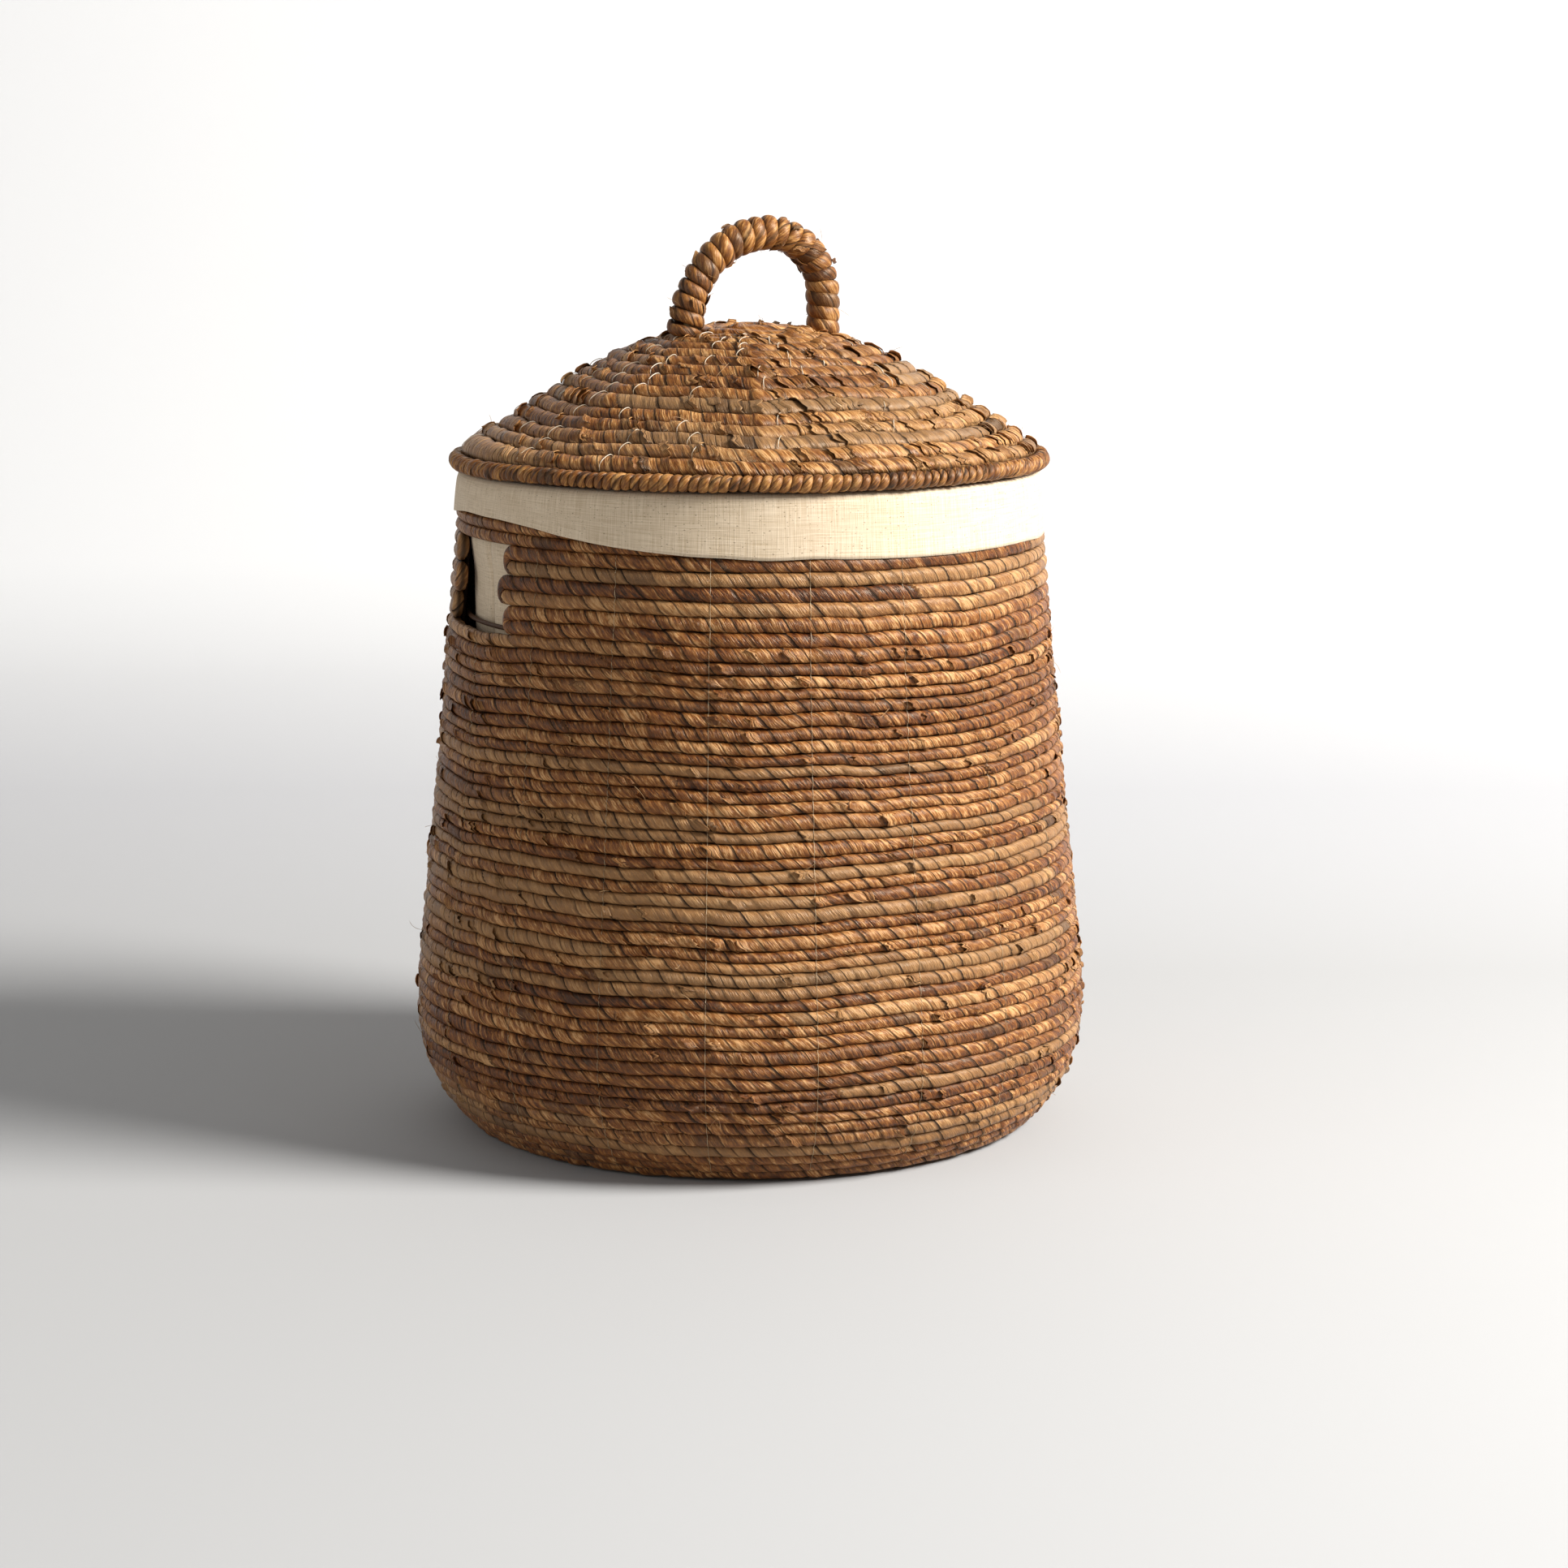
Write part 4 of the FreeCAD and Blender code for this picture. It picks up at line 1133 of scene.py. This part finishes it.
# %% [markdown]
# ## Threads of the lid
# On the lid the thread is thicker and whiter, and each stitch shows as a short slanted arc over
# one row. The stitches of neighbouring rows stand a little apart, in curved lines. Most of them
# are buried in the rough bark, so only some are drawn, more of them on the left.

# %% Lid stitches
LID_THREAD_HALF = 0.3 * MM
lid_tangent, _, lid_up = rope_frame(lid_centre, lid_out, False)
lines = []
rng = np.random.default_rng(81)
for thread_angle in THREAD_ANGLES:
    for turn in range(3, lid_turns):
        angle = thread_angle + 0.015 * turn
        index = turn * LID_PER_TURN + sample_at(angle, LID_PER_TURN) + int(rng.integers(-6, 7))
        index = min(index, lid_samples - 12)
        to_left = math.cos(angle - math.pi - 0.35)
        if rng.random() < 0.68 - 0.3 * to_left:
            continue
        slant = rng.uniform(2.5, 5.0) * MM
        line = []
        for share in np.linspace(-1, 1, 9):
            bow = (1 - abs(share) ** 2.6) ** 0.5 if abs(share) < 1 else 0
            reach = lid_half_out[index] * (0.35 + 0.72 * bow) + LID_THREAD_HALF
            line.append(lid_centre[index] + lid_out[index] * reach
                        - lid_up[index] * lid_half_up[index] * 0.98 * share
                        + lid_tangent[index] * slant * (0.2 - 0.6 * share + 0.25 * share ** 2))
        lines.append(line)
piece = tubes("lid_thread", lines, LID_THREAD_HALF)
finish_piece(piece, "lid", white_nylon, ["lid_stitching"])
print("lid stitches", len(lines))

# %% [markdown]
# ## Torn edges, curled ends and loose fibres
# Where one strip of bark ends and the next begins, the edge lifts and curls. These small flaps
# follow the face of the rope and rise towards their torn edge. They have a thickness of 0.4 mm.
# The loose fibres are hairs that stand off the rope. The lid has the most for its size, more of
# them on its right side. The handle's flaps are small, because its rope is wound tight.

# %% Flaps
FLAP_THICK = 0.4 * MM
FLAP_ROUND = 7
FLAP_ALONG = 6


def flap_faces():
    """Faces of a flap: two grids of points, outer and inner, joined round the edge."""
    count = FLAP_ROUND * FLAP_ALONG

    def at(layer, i, j):
        return layer * count + i * FLAP_ROUND + j

    faces = []
    for i in range(FLAP_ALONG - 1):
        for j in range(FLAP_ROUND - 1):
            faces.append((at(1, i, j), at(1, i + 1, j), at(1, i + 1, j + 1), at(1, i, j + 1)))
            faces.append((at(0, i, j), at(0, i, j + 1), at(0, i + 1, j + 1), at(0, i + 1, j)))
    last = FLAP_ROUND - 1
    for i in range(FLAP_ALONG - 1):
        faces.append((at(0, i, 0), at(0, i + 1, 0), at(1, i + 1, 0), at(1, i, 0)))
        faces.append((at(0, i, last), at(1, i, last), at(1, i + 1, last), at(0, i + 1, last)))
    last = FLAP_ALONG - 1
    for j in range(FLAP_ROUND - 1):
        faces.append((at(0, 0, j), at(1, 0, j), at(1, 0, j + 1), at(0, 0, j + 1)))
        faces.append((at(0, last, j), at(0, last, j + 1), at(1, last, j + 1), at(1, last, j)))
    return np.array(faces)


def bark_flaps(name, sites, seed, widest, lift_range):
    """Small curled flaps of bark on a rope's face, one at each site."""
    rng = np.random.default_rng(seed)
    faces = flap_faces()
    points = []
    quads = []
    places = []
    looks = []
    share = np.linspace(0, 1, FLAP_ALONG)[:, None]
    for number, (centre, tangent, out, up, half_out, half_up, look) in enumerate(sites):
        width = rng.uniform(0.45, 1) * widest
        rise = rng.uniform(*lift_range)
        low, high = sorted(rng.uniform(-75, 75, 2))
        if high - low < 55:
            low, high = (-65, 40)
        turn = np.radians(np.linspace(low, high, FLAP_ROUND))
        slant = rng.uniform(3.5, 6) * MM
        way = rng.choice([-1, 1])
        torn = width * (1 + rng.uniform(-0.35, 0.25, FLAP_ROUND))
        curl = rise * share ** 2.2
        sink = -0.25 * MM * (1 - share)
        ahead = way * share * torn[None, :] - slant * turn[None, :] / 1.2
        ahead = ahead - way * (curl ** 2) / (width * 1.5)
        strip = int(rng.integers(0, 4000))
        side = np.sign(np.cos(turn)) * np.abs(np.cos(turn)) ** 0.8
        lift = np.sign(np.sin(turn)) * np.abs(np.sin(turn)) ** 0.8
        for layer in (0, FLAP_THICK):
            size = curl + sink + layer
            spot = (centre
                    + (side[None, :, None] * (half_out + size)[:, :, None]) * out
                    + (lift[None, :, None] * (half_up * 0.96 + size * 0.3)[:, :, None]) * up
                    + ahead[:, :, None] * tangent)
            points.append(spot.reshape(-1, 3))
        corners = 2 * FLAP_ROUND * FLAP_ALONG
        quads.append(number * corners + (faces[:, ::-1] if way < 0 else faces))
        grid = np.zeros((2, FLAP_ALONG, FLAP_ROUND, 3))
        grid[..., 0] = rng.uniform(0, 900) + ahead / MM
        grid[..., 1] = turn / (2 * math.pi)
        grid[..., 2] = strip + 0.08 + 0.7 * share
        places.append(grid.reshape(-1, 3))
        looks.append(np.tile(look, (corners, 1)))
    quads = np.concatenate(quads)
    return mesh_object(name, np.concatenate(points), quads, (), {
        "rope": ("FLOAT_VECTOR", np.concatenate(places)[quads].reshape(-1, 3)),
        "bark": ("FLOAT_COLOR", np.concatenate(looks)[quads].reshape(-1, 4)),
    })

# %% Loose fibres and their places
FIBRE_HALF = 0.13 * MM
SITE_SHIFT = 0.06


def rope_sites(count, seed, rope, first):
    """Random places on a rope, with the look of the bark there made a little lighter."""
    centre, out, half_out, half_up, lengths = rope
    s = distances(centre)
    rng = np.random.default_rng(seed)
    tangent, out, up = rope_frame(centre, out, False)
    sites = []
    for index in np.searchsorted(s, rng.uniform(s[first], s[-40], count)):
        look = along_lengths(lengths, "looks", s[index]).copy()
        look[0] += rng.uniform(-SITE_SHIFT, 2 * SITE_SHIFT)
        sites.append((centre[index], tangent[index], out[index], up[index],
                      half_out[index], half_up[index], look))
    return sites


def loose_fibres(name, sites, seed, longest):
    """Thin curved hairs that stand off a rope."""
    rng = np.random.default_rng(seed)
    share = np.linspace(0, 1, 9)[:, None]
    lines = []
    for centre, tangent, out, up, half_out, half_up, look in sites:
        length = rng.uniform(0.4, 1) * longest
        turn = math.radians(rng.uniform(-70, 70))
        start = centre + out * math.cos(turn) * half_out + up * math.sin(turn) * half_up
        ahead = rng.uniform(-1, 1) * tangent + rng.uniform(0.1, 0.8) * out + rng.normal() * 0.4 * up
        ahead = ahead / np.linalg.norm(ahead)
        bend = rng.normal(0, 0.6) * tangent - rng.uniform(0, 0.5) * out + rng.normal(0, 0.6) * up
        lines.append(start + length * (ahead * share + bend * share ** 2 * 0.6))
    return tubes(name, lines, FIBRE_HALF, sides=4)

# %% Make the flaps and fibres
wall_rope = (wall_centre, wall_out, wall_half_out, wall_half_up, wall_lengths)
lid_rope = (lid_centre, lid_out, lid_half_out, lid_half_up, lid_lengths)
handle_rope = (handle_line, handle_arm, handle_half_out, handle_half_up, handle_lengths)
straw = mottled_material("loose_bark_fibre", "#8A5E34", "#D2A978", 60, 0.55)[0]

sites = rope_sites(640, 90, wall_rope, 4 * PER_TURN)
piece = bark_flaps("wall_bark_ends", sites, 91, 10 * MM, (0.6 * MM, 2.1 * MM))
finish_piece(piece, "basket", wall_bark)
piece = loose_fibres("wall_loose_fibres", rope_sites(170, 92, wall_rope, 2 * PER_TURN), 93, 14 * MM)
finish_piece(piece, "basket", straw)

sites = rope_sites(620, 94, lid_rope, LID_PER_TURN)
rng = np.random.default_rng(98)
rough_side = np.array(camera_right)
sites = [site for site in sites if site[0] @ rough_side > rng.uniform(-0.3, 0.16)]
piece = bark_flaps("lid_bark_ends", sites, 95, 10 * MM, (0.7 * MM, 2.7 * MM))
finish_piece(piece, "lid", lid_bark)
print("lid flaps", len(sites))
piece = loose_fibres("lid_loose_fibres", rope_sites(90, 96, lid_rope, LID_PER_TURN), 97, 13 * MM)
finish_piece(piece, "lid", straw)

sites = rope_sites(26, 99, handle_rope, 20)
piece = bark_flaps("handle_bark_ends", sites, 100, 5 * MM, (0.2 * MM, 0.7 * MM))
finish_piece(piece, "lid", wrap_bark)
piece = loose_fibres("handle_loose_fibres", rope_sites(26, 101, handle_rope, 20), 102, 9 * MM)
finish_piece(piece, "lid", straw)
print("flaps and loose fibres made")

# %% [markdown]
# ## The cloth liner
# The liner is a sewn bag of unbleached cotton. It hangs in upright folds inside the wall, goes
# over the rim, and ends outside in a cuff with a soft, slightly wavy edge that rises beside the
# left hand slot. One strip of cloth makes the side and the cuff. It is wider than the bag, and
# the rest is in the folds. A round piece makes the floor. Both have two faces, 0.8 mm apart.

# %% Outline of the bag
CLOTH_THICK = 0.8 * MM
AROUND_BAG = 420
CUFF_LOW = 420.5 * MM
CUFF_RISE = 20 * MM
bag_radius = reach_of("liner_bottom") - 2.2 * MM
bag_floor = top_of("liner_bottom")
fold_high = top_of("liner_cuff") - 0.6 * MM
cuff_reach = reach_of("liner_cuff") - 0.9 * MM
bag_angle = np.linspace(0, 2 * math.pi, AROUND_BAG, endpoint=False)


def cuff_edge(angle):
    """Height of the cuff's lower edge: low at the front and right, raised at the left slot."""
    left = np.exp(-((angle - math.pi) / 0.75) ** 2)
    wave = 1.2 * MM * waver(angle / 0.35, 110, wrap=18) + 0.6 * MM * waver(
        angle / 0.14, 111, wrap=45)
    return CUFF_LOW + CUFF_RISE * left + wave


OVER_RIM = (  # mm out from the bag and below the fold
    (0.2, 5), (1.2, 2), (4, 0.3), (9, 0), (14, 0), (17.5, 0.8), (19.6, 2.8), (20.6, 6),
)
inside_z = np.linspace(bag_floor + 0.5 * MM, fold_high - 9 * MM, 58)
over_r = bag_radius + np.array(OVER_RIM)[:, 0] * MM
over_z = fold_high - np.array(OVER_RIM)[:, 1] * MM
drop = np.linspace(0, 1, 15)[1:]
drop_r = over_r[-1] + (cuff_reach - over_r[-1]) * drop ** 0.8
drop_z = over_z[-1] + (cuff_edge(bag_angle)[None, :] - over_z[-1]) * drop[:, None]
rows_inside = len(inside_z)
radius_of = np.concatenate([np.full(rows_inside, bag_radius), over_r, drop_r])
cloth_radius = np.repeat(radius_of[:, None], AROUND_BAG, 1)
level_z = np.repeat(np.concatenate([inside_z, over_z])[:, None], AROUND_BAG, 1)
cloth_height = np.vstack([level_z, drop_z])
rows = len(cloth_radius)
print("liner rows", rows, "of", AROUND_BAG, "points")

# %% [markdown]
# The cloth is not drawn tight. A fold is steep on one side and eases out on the other. At each
# hand slot the bag bulges into the opening, with one upright crease, and the cuff has slanted
# wrinkles that are deepest at the right. All of them move the cloth in or out.

# %% Folds, bulges and wrinkles
FOLD_DEPTH = 9 * MM
BULGE = 10.8 * MM
BULGE_STEP = 1.4 * MM
BULGE_CREASE = 4.5 * MM
BULGE_HALF_ANGLE = 0.55
CREASES = {math.pi + 0.02: 1, -0.02: -1}
WRINKLE = 1.25 * MM
WRINKLE_SLANT = 0.55
DEEPEST_WRINKLE = -0.55

fold_places = np.sort(np.random.default_rng(112).uniform(0, 2 * math.pi, 19))
fold_places = np.append(fold_places[np.abs(fold_places - math.pi) > 0.35], [math.pi + 0.045])
folds = np.zeros(AROUND_BAG)
for number, place in enumerate(fold_places):
    off = wrapped(bag_angle - place)
    size = 7 * MM if number == len(fold_places) - 1 else (2.5 + 2 * (number % 3)) * MM
    folds += size * np.exp(-np.clip(off, 0, None) / 0.14) / (1 + np.exp(-off / 0.006))
folds = (folds - folds.max()) * FOLD_DEPTH / (folds.max() - folds.min())

bulge = np.zeros(AROUND_BAG)
for crease_at, way in CREASES.items():
    off = wrapped(bag_angle - crease_at) * way
    bulge += (BULGE + BULGE_STEP / (1 + np.exp(-off / 0.01))) * np.exp(
        -(off / BULGE_HALF_ANGLE) ** 6)
    bulge -= BULGE_CREASE * np.exp(-(off / 0.016) ** 2)
above_slot_foot = 1 + np.exp((sill_high - 36 * MM - cloth_height) / (5 * MM))
below_slot_top = 1 + np.exp((cloth_height - lintel_high - 10 * MM) / (3.5 * MM))
bulge_share = 1 / (above_slot_foot * below_slot_top)
bulge_share[rows_inside:] = 0

fold_share = np.clip((fold_high - 6 * MM - cloth_height) / (60 * MM), 0, 1)
fold_share[rows_inside:] = 0
floor_share = np.clip((cloth_height - bag_floor) / (50 * MM), 0.15, 1)
ripple = dapple(cloth_height / 0.09, bag_angle[None, :] / (2 * math.pi), 22, 113)
cloth_radius = cloth_radius + fold_share * (
    folds[None, :] * floor_share - np.abs(ripple) * 0.8 * MM)
cloth_radius = cloth_radius + bulge_share * (bulge - folds * bulge / bulge.max())[None, :]

cuff_share = np.zeros(rows)
cuff_share[rows_inside + 5:] = np.linspace(0, 1, rows - rows_inside - 5)
wrinkle_at = bag_angle[None, :] / (2 * math.pi) + WRINKLE_SLANT * (fold_high - cloth_height)
wrinkle = dapple(cloth_height / 0.03 + 3, wrinkle_at % 1, 40, 114)
right_side = 0.35 + 0.65 * np.exp(-(wrapped(bag_angle - DEEPEST_WRINKLE) / 0.8) ** 2)
cloth_radius = cloth_radius + WRINKLE * wrinkle * cuff_share[:, None] * right_side[None, :]
print("folds", len(fold_places), "bulge", round(float(bulge.max()) / MM, 1), "mm")

# %% Two faces of the bag
BAG_MIDDLE_RADIUS = 195
inner_face = np.stack([cloth_radius * np.cos(bag_angle), cloth_radius * np.sin(bag_angle),
                       cloth_height], axis=2)
row_way = np.gradient(inner_face, axis=0)
turn_way = np.roll(inner_face, -1, axis=1) - np.roll(inner_face, 1, axis=1)
other_face = inner_face + unit(np.cross(turn_way, row_way)) * CLOTH_THICK
grid = np.arange(rows * AROUND_BAG).reshape(rows, AROUND_BAG)
beside = np.roll(grid, -1, axis=1)
other = grid + rows * AROUND_BAG
other_beside = beside + rows * AROUND_BAG
quads = np.concatenate([
    np.stack([other[:-1], other_beside[:-1], other_beside[1:], other[1:]], axis=2).reshape(-1, 4),
    np.stack([grid[:-1], grid[1:], beside[1:], beside[:-1]], axis=2).reshape(-1, 4),
    np.stack([grid[0], beside[0], other_beside[0], other[0]], axis=1),
    np.stack([grid[-1], other[-1], other_beside[-1], beside[-1]], axis=1),
])
row_gaps = np.linalg.norm(np.diff(inner_face, axis=0), axis=2).mean(axis=1)
cloth_up = np.concatenate([[0], np.cumsum(row_gaps)]) / MM
cloth_place = np.zeros((rows, AROUND_BAG, 3))
cloth_place[..., 0] = bag_angle[None, :] * BAG_MIDDLE_RADIUS
cloth_place[..., 1] = cloth_up[:, None]
corner_places = np.concatenate([cloth_place.reshape(-1, 3)] * 2)[quads]
behind_seam = corner_places[..., 0].max(axis=1, keepdims=True) - corner_places[..., 0] > 600
corner_places[..., 0] += np.where(behind_seam, 2 * math.pi * BAG_MIDDLE_RADIUS, 0)
points = np.concatenate([inner_face.reshape(-1, 3), other_face.reshape(-1, 3)])
bag = mesh_object("liner_bag", points, quads, (), {
    "cloth": ("FLOAT_VECTOR", corner_places.reshape(-1, 3))})
print("liner", len(quads), "faces, cloth height", round(cloth_up[-1]), "mm")

# %% [markdown]
# ## Cotton
# Unbleached plain-weave cotton is dull and creamy, with a faint grid of threads and a few darker
# specks of seed husk. Its threads are 0.45 mm apart, too fine to show, so the weave is drawn at
# 1.1 mm. Each thread's shade changes slowly along its length, over about 26 mm.

# %% Cotton material
WEAVE = 1.1
THREAD_SHADE = 0.8 * WEAVE
SHADE_LENGTH = 26
cotton, tree, shader = new_material("unbleached_plain_weave_cotton")
cloth = add(tree, "ShaderNodeAttribute", attribute_name="cloth")
yarns = []
for scale in ((1 / SHADE_LENGTH, 1 / THREAD_SHADE, 1), (1 / THREAD_SHADE, 1 / SHADE_LENGTH, 1)):
    spot = add(tree, "ShaderNodeMapping", {"Vector": cloth.outputs["Vector"]}, {"Scale": scale})
    yarns.append(add(tree, "ShaderNodeTexNoise", {"Vector": spot.outputs[0]},
                     {"Detail": 2, "Scale": 1}).outputs[0])
weave = add(tree, "ShaderNodeMath", {0: yarns[0], 1: yarns[1]}, operation="ADD")
weave_middle = add(tree, "ShaderNodeMath", {0: weave.outputs[0]}, {1: 0.5}, operation="MULTIPLY")
tint = add(tree, "ShaderNodeValToRGB", {0: weave_middle.outputs[0]})
set_ramp(tint, [(0.36, "#C4AE8F"), (0.64, "#E0CDB2")])
speck_spot = add(tree, "ShaderNodeMapping", {"Vector": cloth.outputs["Vector"]},
                 {"Scale": (0.55, 0.8, 1)})
specks = add(tree, "ShaderNodeTexNoise", {"Vector": speck_spot.outputs[0]},
             {"Detail": 0, "Scale": 1})
speck_mask = add(tree, "ShaderNodeMapRange", {0: specks.outputs[0]},
                 {1: 0.735, 2: 0.77, 3: 0, 4: 0.55})
specked = add(tree, "ShaderNodeMix", {0: speck_mask.outputs[0], 6: tint.outputs[0]},
              {7: linear("#6E5B42")}, data_type="RGBA")
tree.links.new(specked.outputs[2], shader.inputs["Base Color"])
shader.inputs["Roughness"].default_value = 0.88
shader.inputs["Sheen Weight"].default_value = 0.12
shader.inputs["Sheen Roughness"].default_value = 0.5
relief = add(tree, "ShaderNodeBump", {"Height": weave.outputs[0]},
             {"Strength": 0.5, "Distance": 0.4 * MM})
tree.links.new(relief.outputs[0], shader.inputs["Normal"])

finish_piece(bag, "liner", cotton, ["liner_wall", "liner_cuff"])
print("material", cotton.name)

# %% Floor of the bag
DISC_RINGS = 34
DISC_SPOKES = 160
disc_r = np.linspace(4 * MM, bag_radius - 3 * MM, DISC_RINGS)[:, None]
disc_a = np.linspace(0, 2 * math.pi, DISC_SPOKES, endpoint=False)[None, :]
crumple = dapple(disc_r / 0.03, disc_a / (2 * math.pi), 14, 120)
disc_z = bag_floor - 0.2 * MM + np.abs(crumple) * 2.0 * MM * (disc_r / disc_r[-1])
layers = [np.stack([disc_r * np.cos(disc_a), disc_r * np.sin(disc_a), disc_z + lift],
                   axis=2).reshape(-1, 3) for lift in (0, CLOTH_THICK)]
one_layer = DISC_RINGS * DISC_SPOKES
grid = np.arange(one_layer).reshape(DISC_RINGS, DISC_SPOKES)
beside = np.roll(grid, -1, axis=1)
top = grid + one_layer
top_beside = beside + one_layer
quads = np.concatenate([
    np.stack([top[:-1], top[1:], top_beside[1:], top_beside[:-1]], axis=2).reshape(-1, 4),
    np.stack([grid[:-1], beside[:-1], beside[1:], grid[1:]], axis=2).reshape(-1, 4),
    np.stack([grid[-1], beside[-1], top_beside[-1], top[-1]], axis=1),
])
middle_z = float(disc_z[0].mean())
points = np.concatenate(layers + [np.array([[0, 0, middle_z], [0, 0, middle_z + CLOTH_THICK]])])
fans = [(2 * one_layer, beside[0][k], grid[0][k]) for k in range(DISC_SPOKES)]
fans += [(2 * one_layer + 1, top[0][k], top_beside[0][k]) for k in range(DISC_SPOKES)]
places = points[np.concatenate([quads.ravel(), np.array(fans).ravel()])] / MM
disc = mesh_object("liner_floor", points, quads, fans, {"cloth": ("FLOAT_VECTOR", places)})
finish_piece(disc, "liner", cotton, ["liner_bottom"])

# %% [markdown]
# ## The hidden frame and cores
# The wire frame, the handle's rod and the cord's core keep their CAD shapes. The wire is thin
# mild steel with a dark brown lacquer. The rod is peeled rattan, and the core is plain bark cord.

# %% Frame and core materials
def core_material(name, dark_hex, light_hex, per_metre, roughness):
    """A mottled finish whose roughness and fine relief follow the mottling."""
    material, tree, shader, mottle = mottled_material(
        name, dark_hex, light_hex, per_metre, roughness, detail=4)
    gloss = add(tree, "ShaderNodeMapRange", {0: mottle.outputs[0]},
                {1: 0.3, 2: 0.7, 3: roughness - 0.06, 4: roughness + 0.08})
    tree.links.new(gloss.outputs[0], shader.inputs["Roughness"])
    relief = add(tree, "ShaderNodeBump", {"Height": mottle.outputs[0]},
                 {"Strength": 0.3, "Distance": 0.2 * MM})
    tree.links.new(relief.outputs[0], shader.inputs["Normal"])
    return material


wire = core_material("brown_lacquered_steel_wire", "#3A2413", "#5A3A1F", 900, 0.62)
rattan = core_material("peeled_rattan", "#A57F4E", "#CDAA76", 320, 0.5)
cord_bark = core_material("plain_bark_cord", "#7A5A38", "#B08C5E", 420, 0.7)
finishes = {"handle_core": rattan, "lid_cord_core": cord_bark}
finishes.update({name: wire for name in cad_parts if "wire" in name})
for name, finish in finishes.items():
    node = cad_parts[name]
    node.data.materials.clear()
    node.data.materials.append(finish)
print("CAD nodes kept", len(finishes))

# %% [markdown]
# ## Floor and light
# A pale sweep runs from the floor up into a backdrop. Its paper is painted grey in front and
# white up the backdrop, a painted light falloff. The key light stands to the camera's right and
# is slightly warm. A weak light fills the left, and the pale room lifts the shadows.

# %% Stage
FLOOR_FRONT = -6
FLOOR_BACK = 2.2
SWEEP_BEND = 1.4
BACKDROP_TOP = 6
STAGE_HALF = 7
bend = np.linspace(0.05, math.pi / 2, 16)
sweep_run = np.concatenate([np.linspace(FLOOR_FRONT, FLOOR_BACK, 20),
                            FLOOR_BACK + SWEEP_BEND * np.sin(bend),
                            np.full(8, FLOOR_BACK + SWEEP_BEND)])
sweep_rise = np.concatenate([np.zeros(20), SWEEP_BEND - SWEEP_BEND * np.cos(bend),
                             np.linspace(1.7, BACKDROP_TOP, 8)])
behind = -np.array(to_camera)[:2]
sideways = np.array(camera_right)[:2]
widths = np.linspace(-STAGE_HALF, STAGE_HALF, 15)
points = np.zeros((len(sweep_run), len(widths), 3))
points[..., :2] = sweep_run[:, None, None] * behind + widths[None, :, None] * sideways
points[..., 2] = sweep_rise[:, None]
grid = np.arange(points.shape[0] * points.shape[1]).reshape(points.shape[:2])
quads = np.stack([grid[:-1, :-1], grid[:-1, 1:], grid[1:, 1:], grid[1:, :-1]],
                 axis=2).reshape(-1, 4)
sweep = mesh_object("pale_sweep", points.reshape(-1, 3), quads)
paper, tree, shader = new_material("pale_paper_with_painted_falloff")
# Painted light falloff: the paper's colour runs from grey in front to white up the backdrop.
spot = add(tree, "ShaderNodeTexCoord")
inward = add(tree, "ShaderNodeVectorMath", {0: spot.outputs["Object"]},
             {1: (float(behind[0]), float(behind[1]), 0.6)}, operation="DOT_PRODUCT")
painted_falloff = add(tree, "ShaderNodeMapRange", {0: inward.outputs["Value"]},
           {1: -1.6, 2: 4.2, 3: 0, 4: 1})
tint = add(tree, "ShaderNodeValToRGB", {0: painted_falloff.outputs[0]})
set_ramp(tint, [(0.0, "#B3B3B3"), (0.35, "#AFAFAF"), (0.5, "#C6C6C8"), (0.75, "#FAFAFA")])
tree.links.new(tint.outputs[0], shader.inputs["Base Color"])
shader.inputs["Roughness"].default_value = 0.9
sweep.data.materials.append(paper)
print("sweep", len(quads), "faces")

# %% Lights
AIM_AT = Vector((0, 0, 0.3))


def soft_light(name, azimuth, height, distance, size, power, colour):
    """An area light aimed at the middle of the basket, at an azimuth from the camera."""
    turn = VIEW_AZIMUTH + math.radians(azimuth)
    data = bpy.data.lights.new(name, "AREA")
    data.shape = "DISK"
    data.size = size
    data.energy = power
    data.color = linear(colour)[:3]
    lamp = bpy.data.objects.new(name, data)
    bpy.context.scene.collection.objects.link(lamp)
    lamp.location = (distance * math.sin(turn), -distance * math.cos(turn), height)
    lamp.rotation_euler = (AIM_AT - lamp.location).to_track_quat("-Z", "Y").to_euler()


soft_light("key", azimuth=73, height=2.5, distance=3.2, size=1.6, power=358, colour="#FFFDFA")
soft_light("fill", azimuth=-65, height=1.0, distance=3.0, size=2.0, power=15, colour="#FFFFFF")
world = bpy.data.worlds.new("pale_room")
world.use_nodes = True
room = world.node_tree.nodes["Background"]
room.inputs["Color"].default_value = linear("#FFFFFF")
room.inputs["Strength"].default_value = 0.27
bpy.context.scene.world = world
bpy.context.scene.view_settings.view_transform = "Standard"
print("two lights and a pale room")
